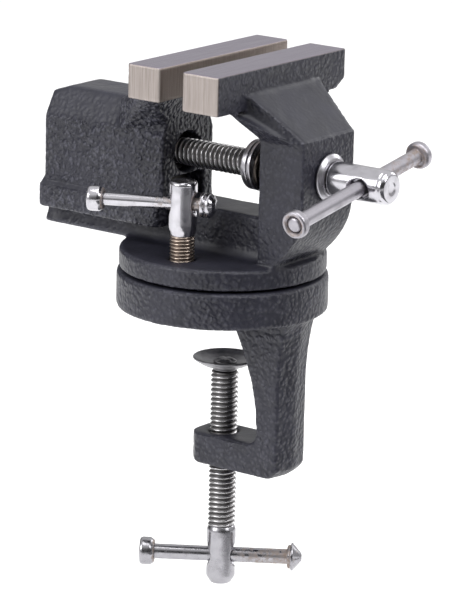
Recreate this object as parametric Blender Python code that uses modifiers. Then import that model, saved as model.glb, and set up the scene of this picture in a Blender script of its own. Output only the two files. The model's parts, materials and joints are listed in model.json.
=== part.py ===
"""Swivel bench vise with a screw clamp, built from its separate pieces.

Metres, +Z up. The origin is on the swivel axis, at the seat that lies on the table
top. +X runs along the main screw towards its handle and +Y along the jaws.
"""
import math

import bmesh
import bpy
from mathutils import Matrix, Vector

# Gaps between pieces
TOUCH_GAP = 0.0003          # between faces that touch on the real vise
THREAD_GAP = 0.0003         # between a screw and its threaded hole, on the radius
SLIDE_GAP = 0.0004          # between a bar and its hole, on the radius

# Swivel discs
DISC_RADIUS = 0.0379        # of the lower disc
UPPER_DISC_SETBACK = 0.0008
LOWER_DISC_HEIGHT = 0.0132
UPPER_DISC_HEIGHT = 0.0075
DISC_GAP = 0.0007

# Rail and screw heights
RAIL_WIDTH = 0.0180
RAIL_HEIGHT = 0.0157
RAIL_LENGTH = 0.0740        # from the swivel axis to its free end
RAIL_FOOT_SPREAD = 0.0016   # wider than the rail, to each side
RAIL_FOOT_HEIGHT = 0.0035
RAIL_SINK = 0.0008          # how far the rail starts below the top of its disc
SPINDLE_ABOVE_RAIL = 0.0163

# Jaw bars
JAW_WIDTH = 0.0750
JAW_TOP_ABOVE_SPINDLE = 0.0376
FIXED_FACE_X = 0.0089
JAW_OPENING = 0.0096
FIXED_BAR_THICKNESS = 0.0156
FIXED_BAR_HEIGHT = 0.0140
MOVING_BAR_THICKNESS = 0.0142
MOVING_BAR_HEIGHT = 0.0125
BAR_CORNER_DROP = 0.0035    # cut corner under the far end of each bar
BAR_CORNER_RUN = 0.0055

# Column of the fixed jaw, and the necks that join the bars to the bodies
COLUMN_DEPTH = 0.0190
COLUMN_WIDTH = 0.0310
COLUMN_FOOT_HEIGHT = 0.0220
COLUMN_FOOT_INSET = 0.0125
BAR_SETBACK = 0.0015        # from the back of a bar to the body behind it
NECK_RIDGE_WIDTH = 0.0420
NECK_FLARE_WIDTH = 0.0560
NECK_RIDGE_DROP = 0.0077    # below the jaw top, at the bar
NECK_END_DROP = 0.0230      # below the jaw top, at the back of the column
NECK_ROOT_DROP = 0.0250     # below the jaw top, under the bar
NECK_OVERLAP = 0.0040       # how far a neck runs into its bar
NECK_INSET = 0.0002         # how far the faces of a neck lie inside those it runs into
POCKET_WIDE_RADIUS = 0.0042   # of the hollow beside the neck, at the bar
POCKET_NARROW_RADIUS = 0.0012   # of the same hollow, at the back of the column
POCKET_OUT = 0.83           # share of its radius that its middle stands out from the ridge
POCKET_DOWN = 0.73          # share of its radius that its middle lies below the ridge
POCKET_START = 0.0020       # how far inside the bar its cutter starts

# Sliding body of the moving jaw
BODY_LENGTH = 0.0545
BODY_WALL = 0.0057
RAIL_CLEARANCE = 0.0003
BODY_TOP_ABOVE_SPINDLE = 0.0189
BODY_SHOULDER_DROP = 0.0108
BODY_SHOULDER_RUN = 0.0060
BODY_ROOF = 0.0083
BODY_BOTTOM_BELOW_RAIL = 0.0094
BODY_SKIRT_HEIGHT = 0.0085
BODY_SKIRT_PROUD = 0.0020
BODY_SKIRT_SLOPE = 0.0018
BODY_SKIRT_STEP = 0.0012    # short of the front of the body
BODY_SKIRT_REACH = 0.0008   # beyond the rear of the body
BODY_END_WALL = 0.0060
BODY_END_BEVEL = 0.0025
BODY_END_BEVEL_RUN = 0.0075
BODY_NECK_LENGTH = 0.0200
SPINDLE_PASSAGE_RADIUS = 0.0075
RAIL_NOTCH_HEADROOM = 0.0080

# Main screw
SPINDLE_RADIUS = 0.0050
SPINDLE_BACK_LENGTH = 0.0700   # from the swivel axis to its tip
SPINDLE_HEAD_RADIUS = 0.0062
SPINDLE_HEAD_LENGTH = 0.0238
SPINDLE_HOLE_OFFSET = 0.0134   # from the start of the head to the cross hole
SPINDLE_DIMPLE_FLOOR = 0.35   # share of the head radius
SPINDLE_DIMPLE_RIM = 0.55     # share of the head radius
SPINDLE_BAR_ANGLE = math.radians(9.3)
SPINDLE_BAR_SHIFT = 0.0049  # how far the bar has slid through its hole
COLLAR_RADIUS = 0.0085
COLLAR_THICKNESS = 0.0022
COLLAR_ROUNDING = 0.0008
SPRING_OUTER_RADIUS = 0.0091
SPRING_WIRE_RADIUS = 0.0011
SPRING_TURNS = 2.25
SPRING_LENGTH = 0.0080
SPRING_WASHER_THICKNESS = 0.0016
STOP_RING_THICKNESS = 0.0022
STOP_RING_RADIUS = 0.0090
STOP_PIN_RADIUS = 0.0008
STOP_PIN_LENGTH = 0.0160

# Nut of the main screw
NUT_LENGTH = 0.0120
NUT_BEHIND_WALL = 0.0015
NUT_SCREW_RADIUS = 0.0025
NUT_SCREW_RECESS = 0.0012
NUT_SCREW_ENGAGEMENT = 0.0036
SCREW_SLOT_WIDTH = 0.0009
SCREW_SLOT_DEPTH = 0.0012

# Bars that turn the screws
SPINDLE_ROD_RADIUS = 0.00275
SPINDLE_ROD_LENGTH = 0.0773
SPINDLE_KNOB_RADIUS = 0.0050
SPINDLE_KNOB_LENGTH = 0.0038
LOCK_ROD_RADIUS = 0.00220
LOCK_ROD_LENGTH = 0.0459
LOCK_KNOB_RADIUS = 0.0045
LOCK_KNOB_LENGTH = 0.0056
CLAMP_ROD_RADIUS = 0.00275
CLAMP_ROD_LENGTH = 0.0590
CLAMP_KNOB_RADIUS = 0.0051
CLAMP_KNOB_LENGTH = 0.0053
CAP_RIM = 0.0006            # depth of the dish that the rivet end sits in
RIVET_END_SHARE = 0.92      # of the rod's radius, at the edge of its riveted end
POINTED_KNOB = (            # shares of the knob's radius and of its length, from the tip back
    (0.25, 0.0),
    (0.86, 0.55),
    (1.0, 0.62),
    (1.0, 0.80),
    (0.74, 0.86),
    (0.74, 1.0),
)
CROSS_HOLE_GAP = 0.0007     # between a bar and the hole in its screw head, on the radius

# Screw that locks the swivel
LOCK_RADIUS = 0.0045
LOCK_HEAD_RADIUS = 0.0050
LOCK_OFFSET = 0.0240        # from the swivel axis, towards -Y
LOCK_HEAD_CLEARANCE = 0.0081   # from the disc to the start of the plain head
LOCK_HEAD_LENGTH = 0.0200
LOCK_HOLE_ABOVE_DISC = 0.0196
LOCK_BAR_ANGLE = math.radians(26.0)
LOCK_BAR_SHIFT = 0.0110     # how far the bar has slid through its hole

# Clamp: leg, foot, screw and pad
LEG_HALF_WIDTH = 0.0090
LEG_OUTER_X = 0.0335
LEG_THICKNESS = 0.0110
LEG_GUSSET = 0.0132         # how much thicker the leg is where it leaves the disc
LEG_GUSSET_DEPTH = 0.0400
LEG_GUSSET_POWER = 1.85
LEG_FLARE = 0.0030          # how far the outer face leans out to the disc
LEG_FLARE_DEPTH = 0.0230
LEG_FLARE_POWER = 2.0
LEG_DRAFT = 0.0018
LEG_FILLET = 0.0035         # between the leg and the foot
FOOT_TOP_DEPTH = 0.0462     # below the table seat
FOOT_HEIGHT = 0.0118
FOOT_NOSE = 0.0100          # beyond the axis of the clamp screw
FOOT_NOSE_CHAMFER = 0.0040
FOOT_CORNER = 0.0035
CLAMP_SCREW_X = 0.0020
CLAMP_RADIUS = 0.0050
CLAMP_HEAD_RADIUS = 0.0053
CLAMP_THREAD_LENGTH = 0.0580
CLAMP_HEAD_LENGTH = 0.0220
CLAMP_HOLE_OFFSET = 0.0115
CLAMP_BAR_ANGLE = math.radians(33.0)
PAD_DEPTH = 0.0188          # rim of the pad below the table seat
PAD_RADIUS = 0.0116
PAD_RIM = 0.0008
PAD_HEIGHT = 0.0049
PAD_BOSS_RADIUS = 0.0044
PAD_DISH_RADIUS = 0.0098
PAD_DISH_DEPTH = 0.0022
PAD_FLOOR_SHARE = 0.75      # flat part of the dish, as a share of its radius
RIVET_NECK_RADIUS = 0.0027
RIVET_HEAD_RADIUS = 0.0042
RIVET_HEAD_HEIGHT = 0.0012
RIVET_TOP_SHARE = 0.6       # flat part of the rivet head, as a share of its radius
RIVET_SLOPE_SHARE = 0.7     # sloped part of the rivet head, as a share of its height

# Pivot bolt between the discs
BOLT_RADIUS = 0.0040
BOLT_HEAD_RADIUS = 0.0075
BOLT_HEAD_HEIGHT = 0.0050
BOLT_WASHER_RADIUS = 0.0080
BOLT_WASHER_THICKNESS = 0.0016
BOLT_RECESS_RADIUS = 0.0086
BOLT_RECESS_DEPTH = 0.0076
BOLT_TIP_BELOW_RAIL_TOP = 0.0040
BOLT_HOLE_EXTRA = 0.0010

# Roundness
ROUND = 40
ROUND_SMALL = 24
EDGE_CHAMFER = 0.0008
CURVE_STEPS = 6             # straight pieces in each curved face of a casting
SPRING_STEPS = 16           # straight pieces in one turn of the spring
WIRE_ROUNDNESS = 2
SHADE_ANGLE = math.radians(35.0)   # edges sharper than this stay hard
MERGE = 0.00001             # points closer than this are one
THROUGH = 0.0020            # how far a cutter runs past the faces that it cuts

# Places worked out from the sizes above
UPPER_DISC_BOTTOM = LOWER_DISC_HEIGHT + DISC_GAP
UPPER_DISC_RADIUS = DISC_RADIUS - UPPER_DISC_SETBACK
DISC_TOP = UPPER_DISC_BOTTOM + UPPER_DISC_HEIGHT
RAIL_TOP = DISC_TOP + RAIL_HEIGHT
SPINDLE_Z = RAIL_TOP + SPINDLE_ABOVE_RAIL
JAW_TOP = SPINDLE_Z + JAW_TOP_ABOVE_SPINDLE
FIXED_BACK_X = FIXED_FACE_X + FIXED_BAR_THICKNESS
COLUMN_FRONT_X = FIXED_BACK_X + BAR_SETBACK
COLUMN_BACK_X = COLUMN_FRONT_X + COLUMN_DEPTH
MOVING_FACE_X = FIXED_FACE_X - JAW_OPENING
MOVING_BACK_X = MOVING_FACE_X - MOVING_BAR_THICKNESS
BODY_FRONT_X = MOVING_BACK_X - BAR_SETBACK
BODY_REAR_X = BODY_FRONT_X - BODY_LENGTH
BODY_CAVITY_HALF = RAIL_WIDTH / 2 + RAIL_CLEARANCE
BODY_HALF_WIDTH = BODY_CAVITY_HALF + BODY_WALL
BODY_TOP = SPINDLE_Z + BODY_TOP_ABOVE_SPINDLE
BODY_BOTTOM = RAIL_TOP - BODY_BOTTOM_BELOW_RAIL
CAVITY_TOP = BODY_TOP - BODY_ROOF
COLLAR_START_X = COLUMN_BACK_X + TOUCH_GAP
HEAD_START_X = COLLAR_START_X + COLLAR_THICKNESS + TOUCH_GAP
SPINDLE_HOLE_X = HEAD_START_X + SPINDLE_HOLE_OFFSET
SPRING_WASHER_X = COLUMN_FRONT_X - SPRING_LENGTH - 2 * TOUCH_GAP - SPRING_WASHER_THICKNESS
STOP_RING_X = SPRING_WASHER_X - TOUCH_GAP - STOP_RING_THICKNESS
NUT_FRONT_X = BODY_FRONT_X - BODY_END_WALL - NUT_BEHIND_WALL
NUT_MIDDLE_X = NUT_FRONT_X - NUT_LENGTH / 2
LOCK_TIP_Z = LOWER_DISC_HEIGHT + TOUCH_GAP
LOCK_HEAD_Z = DISC_TOP + LOCK_HEAD_CLEARANCE
LOCK_HOLE_Z = DISC_TOP + LOCK_HOLE_ABOVE_DISC
PAD_BOTTOM_Z = -PAD_DEPTH - PAD_HEIGHT
CLAMP_THREAD_TOP_Z = PAD_BOTTOM_Z - TOUCH_GAP
CLAMP_HEAD_TOP_Z = CLAMP_THREAD_TOP_Z - CLAMP_THREAD_LENGTH
CLAMP_HOLE_Z = CLAMP_HEAD_TOP_Z - CLAMP_HOLE_OFFSET
FOOT_BOTTOM_Z = -FOOT_TOP_DEPTH - FOOT_HEIGHT
BOLT_WASHER_BOTTOM_Z = BOLT_RECESS_DEPTH - TOUCH_GAP - BOLT_WASHER_THICKNESS
BOLT_SHOULDER_Z = BOLT_WASHER_BOTTOM_Z - TOUCH_GAP
BOLT_TIP_Z = RAIL_TOP - BOLT_TIP_BELOW_RAIL_TOP

# Colours, roughness and metallic value of each finish
ENAMEL = ((0.045, 0.048, 0.056), 0.42, 0.0)
CHROME = ((0.62, 0.62, 0.64), 0.22, 1.0)
BRIGHT_STEEL = ((0.50, 0.49, 0.48), 0.35, 1.0)
OILED_STEEL = ((0.12, 0.11, 0.10), 0.40, 1.0)
CAST_IRON = ((0.16, 0.15, 0.14), 0.60, 0.8)

X_AXIS = Vector((1.0, 0.0, 0.0))
Z_AXIS = Vector((0.0, 0.0, 1.0))


def clear_scene():
    """Remove whatever objects the file opened with."""
    for item in list(bpy.data.objects):
        bpy.data.objects.remove(item, do_unlink=True)


def new_collection(name):
    """Make a collection in the scene."""
    collection = bpy.data.collections.new(name)
    bpy.context.scene.collection.children.link(collection)
    return collection


def finish_material(name, finish):
    """Make a Principled material from a colour, a roughness and a metallic value."""
    colour, roughness, metallic = finish
    made = bpy.data.materials.new(name + "_finish")
    made.use_nodes = True
    shader = made.node_tree.nodes["Principled BSDF"]
    shader.inputs["Base Color"].default_value = (*colour, 1.0)
    shader.inputs["Roughness"].default_value = roughness
    shader.inputs["Metallic"].default_value = metallic
    return made


def add_object(name, mesh, origin, finish=None):
    """Put a mesh in the scene, as a piece if it has a finish, or else as a cutter."""
    item = bpy.data.objects.new(name, mesh)
    item.location = origin
    if finish is None:
        CUTTERS.objects.link(item)
        item.hide_render = True
        item.display_type = "WIRE"
    else:
        PIECES.objects.link(item)
        mesh.materials.clear()
        mesh.materials.append(finish_material(name, finish))
    return item


def mesh_from(bm, name, move=None):
    """Turn a bmesh into a mesh, moved by a matrix if one is given."""
    if move is not None:
        bm.transform(move)
    mesh = bpy.data.meshes.new(name)
    bm.to_mesh(mesh)
    bm.free()
    return mesh


def turn_to(axis):
    """Rotation that takes +Z to the given axis."""
    return Z_AXIS.rotation_difference(axis).to_matrix().to_4x4()


def box(name, low, high, origin=(0.0, 0.0, 0.0), finish=None):
    """A box between two corners given in world space."""
    low, high, origin = Vector(low), Vector(high), Vector(origin)
    bm = bmesh.new()
    bmesh.ops.create_cube(bm, size=1.0)
    size = high - low
    move = Matrix.Translation((low + high) / 2 - origin) @ Matrix.Diagonal((*size, 1.0))
    return add_object(name, mesh_from(bm, name, move), origin, finish)


def cylinder(name, start, axis, length, radius, segments=ROUND, origin=None, finish=None):
    """A cylinder from a start point along an axis."""
    start, axis = Vector(start), Vector(axis)
    origin = start if origin is None else Vector(origin)
    bm = bmesh.new()
    bmesh.ops.create_cone(bm, cap_ends=True, segments=segments, radius1=radius, radius2=radius, depth=length)
    move = Matrix.Translation(start + axis * (length / 2) - origin) @ turn_to(axis)
    item = add_object(name, mesh_from(bm, name, move), origin, finish)
    shade(item)
    return item


def hull(name, points, origin=(0.0, 0.0, 0.0), finish=None):
    """The convex solid around a few corner points given in world space."""
    bm = bmesh.new()
    for point in points:
        bm.verts.new(Vector(point) - Vector(origin))
    result = bmesh.ops.convex_hull(bm, input=bm.verts)
    loose = [item for item in result["geom_interior"] if isinstance(item, bmesh.types.BMVert)]
    bmesh.ops.delete(bm, geom=loose, context="VERTS")
    bmesh.ops.recalc_face_normals(bm, faces=bm.faces)
    return add_object(name, mesh_from(bm, name), origin, finish)


def plate(name, outline, thickness, basis, origin=(0.0, 0.0, 0.0), finish=None):
    """A flat outline, thickened evenly to both sides and turned by a matrix into place."""
    curve = bpy.data.curves.new(name, "CURVE")
    curve.dimensions = "2D"
    curve.fill_mode = "BOTH"
    curve.extrude = thickness / 2
    spline = curve.splines.new("POLY")
    spline.points.add(len(outline) - 1)
    for point, (across, up) in zip(spline.points, outline):
        point.co = (across, up, 0.0, 1.0)
    spline.use_cyclic_u = True
    drawn = bpy.data.objects.new(name + "_outline", curve)
    CUTTERS.objects.link(drawn)
    drawn.matrix_world = basis
    bpy.context.view_layer.update()
    evaluated = drawn.evaluated_get(bpy.context.evaluated_depsgraph_get())
    mesh = bpy.data.meshes.new_from_object(evaluated)
    bm = bmesh.new()
    bm.from_mesh(mesh)
    bpy.data.meshes.remove(mesh)
    bmesh.ops.remove_doubles(bm, verts=bm.verts, dist=MERGE)
    bmesh.ops.recalc_face_normals(bm, faces=bm.faces)
    move = Matrix.Translation(-Vector(origin)) @ drawn.matrix_world
    bpy.data.objects.remove(drawn, do_unlink=True)
    bpy.data.curves.remove(curve)
    return add_object(name, mesh_from(bm, name, move), origin, finish)


def turned(name, profile, start, axis, segments=ROUND, origin=None, finish=None, ring=False):
    """A turned piece. The profile is (radius, distance along the axis), far end first."""
    start, axis = Vector(start), Vector(axis)
    origin = start if origin is None else Vector(origin)
    bm = bmesh.new()
    points = [bm.verts.new((radius, 0.0, along)) for radius, along in profile]
    for first, second in zip(points, points[1:]):
        bm.edges.new((first, second))
    if ring:
        bm.edges.new((points[-1], points[0]))
    item = add_object(name, mesh_from(bm, name), origin, finish)
    item.matrix_world = Matrix.Translation(start) @ turn_to(axis)
    screw = item.modifiers.new("Turn", "SCREW")
    screw.steps = segments
    screw.render_steps = segments
    screw.use_merge_vertices = True
    screw.merge_threshold = MERGE
    screw.use_smooth_shade = True
    return item


def combine(item, tool, operation):
    """Join or cut an object with another one, exactly."""
    step = item.modifiers.new(tool.name, "BOOLEAN")
    step.operation = operation
    step.solver = "EXACT"
    step.object = tool


def add(item, *tools):
    """Join the tools to an object."""
    for tool in tools:
        combine(item, tool, "UNION")


def cut(item, *tools):
    """Cut the tools out of an object."""
    for tool in tools:
        combine(item, tool, "DIFFERENCE")


def shade(item):
    """Shade round faces smooth and keep the hard edges."""
    item.data.shade_smooth()
    item.data.set_sharp_from_angle(angle=SHADE_ANGLE)


def shares(steps):
    """Even steps from 0 to 1, with both ends."""
    return [index / steps for index in range(steps + 1)]


def arc(centre, radius, start, end, steps):
    """Points on an arc, in degrees, with both ends."""
    points = []
    for share in shares(steps):
        angle = math.radians(start + (end - start) * share)
        points.append((centre[0] + radius * math.cos(angle), centre[1] + radius * math.sin(angle)))
    return points


def facing_x(x):
    """Basis for an outline drawn in (y, z) and thickened along X about the given x."""
    return Matrix(((0, 0, 1, x), (1, 0, 0, 0), (0, 1, 0, 0), (0, 0, 0, 1)))


def facing_y(y):
    """Basis for an outline drawn in (x, z) and thickened along Y about the given y."""
    return Matrix(((1, 0, 0, 0), (0, 0, -1, y), (0, 1, 0, 0), (0, 0, 0, 1)))


def mirrored(side):
    """The other half of an outline that is the same on both sides of its middle line."""
    return [(-across, up) for across, up in reversed(side)]


def jaw_bar(name, face_x, back_x, height):
    """One straight jaw bar, with the lower corner of its far end cut off."""
    half = JAW_WIDTH / 2
    bottom = JAW_TOP - height
    outline = [
        (-half, bottom),
        (half - BAR_CORNER_RUN, bottom),
        (half, bottom + BAR_CORNER_DROP),
        (half, JAW_TOP),
        (-half, JAW_TOP),
    ]
    middle = (face_x + back_x) / 2
    return plate(name, outline, abs(back_x - face_x), facing_x(middle))


def neck(name, back_x, front_x, end_x, bar_height, end_half, end_top, end_low, root_half):
    """The wedge that joins a wide bar to the narrower body behind it."""
    inner_x = back_x - math.copysign(NECK_OVERLAP, end_x - back_x)
    root_x = front_x + math.copysign(NECK_INSET, end_x - back_x)
    ridge = NECK_RIDGE_WIDTH / 2
    flare = NECK_FLARE_WIDTH / 2
    ridge_z = JAW_TOP - NECK_RIDGE_DROP
    bar_bottom = JAW_TOP - bar_height
    points = []
    for side in (-1, 1):
        points += [
            (inner_x, side * ridge, ridge_z),
            (back_x, side * ridge, ridge_z),
            (inner_x, side * flare, bar_bottom + NECK_INSET),
            (back_x, side * flare, bar_bottom + NECK_INSET),
            (root_x, side * (root_half - NECK_INSET), JAW_TOP - NECK_ROOT_DROP),
            (end_x, side * (end_half - NECK_INSET), end_top),
            (end_x, side * (end_half - NECK_INSET), end_low),
        ]
    return hull(name, points)


def neck_pocket(side):
    """Tapered cutter for the hollow below one ridge of the neck."""
    wide, narrow = POCKET_WIDE_RADIUS, POCKET_NARROW_RADIUS
    start = Vector((
        FIXED_BACK_X - POCKET_START,
        side * (NECK_RIDGE_WIDTH / 2 + POCKET_OUT * wide),
        JAW_TOP - NECK_RIDGE_DROP - POCKET_DOWN * wide,
    ))
    end = Vector((
        COLUMN_BACK_X,
        side * (COLUMN_WIDTH / 2 + POCKET_OUT * narrow),
        JAW_TOP - NECK_END_DROP - POCKET_DOWN * narrow,
    ))
    name = "pocket_near" if side < 0 else "pocket_far"
    bm = bmesh.new()
    bmesh.ops.create_cone(bm, cap_ends=True, segments=ROUND_SMALL, radius1=wide, radius2=narrow,
                          depth=(end - start).length)
    move = Matrix.Translation((start + end) / 2) @ turn_to((end - start).normalized())
    return add_object(name, mesh_from(bm, name, move), (0, 0, 0))


def make_clamp_frame():
    """Lower disc, leg and foot in one casting."""
    frame = cylinder("clamp_frame", (0, 0, 0), Z_AXIS, LOWER_DISC_HEIGHT, DISC_RADIUS, 2 * ROUND, finish=ENAMEL)
    nose_x = CLAMP_SCREW_X - FOOT_NOSE
    leg = plate("leg_shape", leg_outline(nose_x), 2 * LEG_HALF_WIDTH, facing_y(0.0))
    draft_leg(leg)
    add(frame, leg)
    corner = LEG_HALF_WIDTH - FOOT_NOSE_CHAMFER
    for side in (-1, 1):
        nose = hull("nose_cut_%s" % ("near" if side < 0 else "far"), [
            (x, side * y, z)
            for x, y in (
                (nose_x - THROUGH, corner - THROUGH),
                (nose_x - THROUGH, LEG_HALF_WIDTH + THROUGH),
                (nose_x + FOOT_NOSE_CHAMFER + THROUGH, LEG_HALF_WIDTH + THROUGH),
            )
            for z in (FOOT_BOTTOM_Z - THROUGH, -FOOT_TOP_DEPTH + THROUGH)
        ])
        cut(frame, nose)
    hole_low = FOOT_BOTTOM_Z - THROUGH
    cut(
        frame,
        cylinder("clamp_screw_hole", (CLAMP_SCREW_X, 0, hole_low), Z_AXIS, FOOT_HEIGHT + 2 * THROUGH,
                 CLAMP_RADIUS + THREAD_GAP),
        cylinder("bolt_hole", (0, 0, -THROUGH), Z_AXIS, LOWER_DISC_HEIGHT + 2 * THROUGH,
                 BOLT_RADIUS + SLIDE_GAP, ROUND_SMALL),
        cylinder("bolt_recess", (0, 0, -THROUGH), Z_AXIS, BOLT_RECESS_DEPTH + THROUGH, BOLT_RECESS_RADIUS),
    )
    return frame


def leg_outline(nose_x):
    """Side view of the leg and foot, from the top of the inner face round to the outer face."""
    inner_x = LEG_OUTER_X - LEG_THICKNESS
    foot_top = -FOOT_TOP_DEPTH
    inside = LOWER_DISC_HEIGHT / 2
    inner = [
        (inner_x - LEG_GUSSET * (1.0 - share) ** LEG_GUSSET_POWER, -LEG_GUSSET_DEPTH * share)
        for share in shares(CURVE_STEPS)
    ]
    outer = [
        (LEG_OUTER_X + LEG_FLARE * (1.0 - share) ** LEG_FLARE_POWER, -LEG_FLARE_DEPTH * share)
        for share in shares(CURVE_STEPS)
    ]
    foot = [
        (nose_x, foot_top),
        (nose_x, FOOT_BOTTOM_Z),
        (LEG_OUTER_X - FOOT_CORNER, FOOT_BOTTOM_Z),
        (LEG_OUTER_X, FOOT_BOTTOM_Z + FOOT_CORNER),
    ]
    fillet = arc((inner_x - LEG_FILLET, foot_top + LEG_FILLET), LEG_FILLET, 0.0, -90.0, CURVE_STEPS // 2)
    start = [(inner[0][0], inside)]
    end = [(outer[0][0], inside)]
    return start + inner + fillet + foot + outer[::-1] + end


def draft_leg(leg):
    """Slope the outer face of the leg away to both sides of its middle line."""
    bm = bmesh.new()
    bm.from_mesh(leg.data)
    bmesh.ops.bisect_plane(
        bm, geom=bm.verts[:] + bm.edges[:] + bm.faces[:], dist=MERGE / 10,
        plane_co=(0.0, 0.0, 0.0), plane_no=(0.0, 1.0, 0.0),
    )
    outer = LEG_OUTER_X - LEG_THICKNESS / 2
    for point in bm.verts:
        if point.co.x > outer and abs(point.co.y) > LEG_HALF_WIDTH / 2 and point.co.z < 0.0:
            point.co.x -= LEG_DRAFT
    bmesh.ops.recalc_face_normals(bm, faces=bm.faces)
    bm.to_mesh(leg.data)
    bm.free()


def make_swivel_body():
    """Upper disc, rail and fixed jaw in one casting."""
    body = cylinder("swivel_body", (0, 0, UPPER_DISC_BOTTOM), Z_AXIS, UPPER_DISC_HEIGHT, UPPER_DISC_RADIUS,
                    2 * ROUND, origin=(0, 0, 0), finish=ENAMEL)
    half = COLUMN_WIDTH / 2
    end_top = JAW_TOP - NECK_END_DROP
    column = plate("column_shape", column_outline(end_top), COLUMN_WIDTH, facing_y(0.0))
    rail = plate("rail_shape", rail_outline(), RAIL_LENGTH + COLUMN_FRONT_X + NECK_OVERLAP,
                 facing_x((COLUMN_FRONT_X + NECK_OVERLAP - RAIL_LENGTH) / 2))
    bar = jaw_bar("fixed_bar_shape", FIXED_FACE_X, FIXED_BACK_X, FIXED_BAR_HEIGHT)
    wedge = neck("fixed_neck_shape", FIXED_BACK_X, COLUMN_FRONT_X, COLUMN_BACK_X - NECK_INSET, FIXED_BAR_HEIGHT,
                 half, end_top - NECK_INSET, end_top - BODY_END_BEVEL, half)
    cut(wedge, neck_pocket(-1), neck_pocket(1))
    add(body, rail, column, wedge, bar)
    cut(
        body,
        cylinder("spindle_bore", (COLUMN_FRONT_X - THROUGH, 0, SPINDLE_Z), X_AXIS, COLUMN_DEPTH + 2 * THROUGH,
                 SPINDLE_RADIUS + SLIDE_GAP),
        cylinder("pivot_thread_hole", (0, 0, UPPER_DISC_BOTTOM - THROUGH), Z_AXIS,
                 BOLT_TIP_Z + BOLT_HOLE_EXTRA - UPPER_DISC_BOTTOM + THROUGH, BOLT_RADIUS + THREAD_GAP, ROUND_SMALL),
        cylinder("lock_thread_hole", (0, -LOCK_OFFSET, UPPER_DISC_BOTTOM - THROUGH), Z_AXIS,
                 UPPER_DISC_HEIGHT + 2 * THROUGH, LOCK_RADIUS + THREAD_GAP),
    )
    return body


def column_outline(top):
    """Side view of the column, its back drawn in towards the disc."""
    inside = DISC_TOP - UPPER_DISC_HEIGHT / 2
    back = [
        (COLUMN_BACK_X - COLUMN_FOOT_INSET * share ** 2, DISC_TOP + COLUMN_FOOT_HEIGHT * (1.0 - share))
        for share in shares(CURVE_STEPS)
    ]
    low = [(COLUMN_FRONT_X, inside), (back[-1][0], inside)]
    return low + back[::-1] + [(COLUMN_BACK_X, top), (COLUMN_FRONT_X, top)]


def rail_outline():
    """End view of the rail, spread at its foot."""
    low = DISC_TOP - RAIL_SINK
    half = RAIL_WIDTH / 2
    spread = half + RAIL_FOOT_SPREAD
    side = [(spread, low), (spread, DISC_TOP + RAIL_SINK), (half, DISC_TOP + RAIL_FOOT_HEIGHT), (half, RAIL_TOP)]
    return side + mirrored(side)


def make_moving_jaw():
    """Hollow sliding body and jaw bar in one casting."""
    flat = BODY_HALF_WIDTH - BODY_SHOULDER_RUN
    side = [
        (BODY_HALF_WIDTH, BODY_BOTTOM + NECK_INSET),
        (BODY_HALF_WIDTH, BODY_TOP - BODY_SHOULDER_DROP),
        (flat, BODY_TOP),
    ]
    jaw = plate("moving_jaw", side + mirrored(side), BODY_LENGTH, facing_x((BODY_FRONT_X + BODY_REAR_X) / 2),
                origin=(0, 0, SPINDLE_Z), finish=ENAMEL)
    neck_end = BODY_FRONT_X - BODY_NECK_LENGTH
    wedge = neck("moving_neck_shape", MOVING_BACK_X, BODY_FRONT_X, neck_end, MOVING_BAR_HEIGHT,
                 BODY_HALF_WIDTH, BODY_TOP - NECK_INSET, BODY_TOP - BODY_SHOULDER_DROP - BODY_END_BEVEL,
                 BODY_HALF_WIDTH)
    bar = jaw_bar("moving_bar_shape", MOVING_FACE_X, MOVING_BACK_X, MOVING_BAR_HEIGHT)
    bevel = hull("rear_top_cut", [
        (x, y, z)
        for x, z in (
            (BODY_REAR_X - THROUGH, BODY_TOP - BODY_END_BEVEL),
            (BODY_REAR_X, BODY_TOP - BODY_END_BEVEL),
            (BODY_REAR_X + BODY_END_BEVEL_RUN, BODY_TOP),
            (BODY_REAR_X + BODY_END_BEVEL_RUN, BODY_TOP + THROUGH),
            (BODY_REAR_X - THROUGH, BODY_TOP + THROUGH),
        )
        for y in (-BODY_HALF_WIDTH - THROUGH, BODY_HALF_WIDTH + THROUGH)
    ])
    add(jaw, make_skirt(), wedge, bar)
    cavity = box("body_cavity", (BODY_REAR_X + BODY_END_WALL, -BODY_CAVITY_HALF, BODY_BOTTOM - THROUGH),
                 (BODY_FRONT_X - BODY_END_WALL, BODY_CAVITY_HALF, CAVITY_TOP))
    notch = box("rail_notch", (BODY_REAR_X - THROUGH, -BODY_CAVITY_HALF, BODY_BOTTOM - 2 * THROUGH),
                (BODY_FRONT_X + THROUGH, BODY_CAVITY_HALF, RAIL_TOP + RAIL_NOTCH_HEADROOM))
    passage = cylinder("spindle_passage", (BODY_REAR_X - THROUGH, 0, SPINDLE_Z), X_AXIS,
                       BODY_LENGTH + 2 * THROUGH, SPINDLE_PASSAGE_RADIUS, ROUND_SMALL)
    screw_hole = cylinder("nut_screw_hole", (NUT_MIDDLE_X, 0, CAVITY_TOP - THROUGH), Z_AXIS,
                          JAW_TOP - CAVITY_TOP, NUT_SCREW_RADIUS + THREAD_GAP, ROUND_SMALL)
    cut(jaw, bevel, cavity, notch, passage, screw_hole)
    return jaw


def make_skirt():
    """Band along the lower edge of the sliding body, standing proud of its sides."""
    proud = BODY_HALF_WIDTH + BODY_SKIRT_PROUD
    inside = BODY_HALF_WIDTH - NECK_INSET
    top = BODY_BOTTOM + BODY_SKIRT_HEIGHT
    side = [(proud, BODY_BOTTOM), (proud, top), (inside, top + BODY_SKIRT_SLOPE)]
    front = BODY_FRONT_X - BODY_SKIRT_STEP
    rear = BODY_REAR_X - BODY_SKIRT_REACH
    return plate("skirt_shape", side + mirrored(side), front - rear, facing_x((front + rear) / 2))


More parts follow.
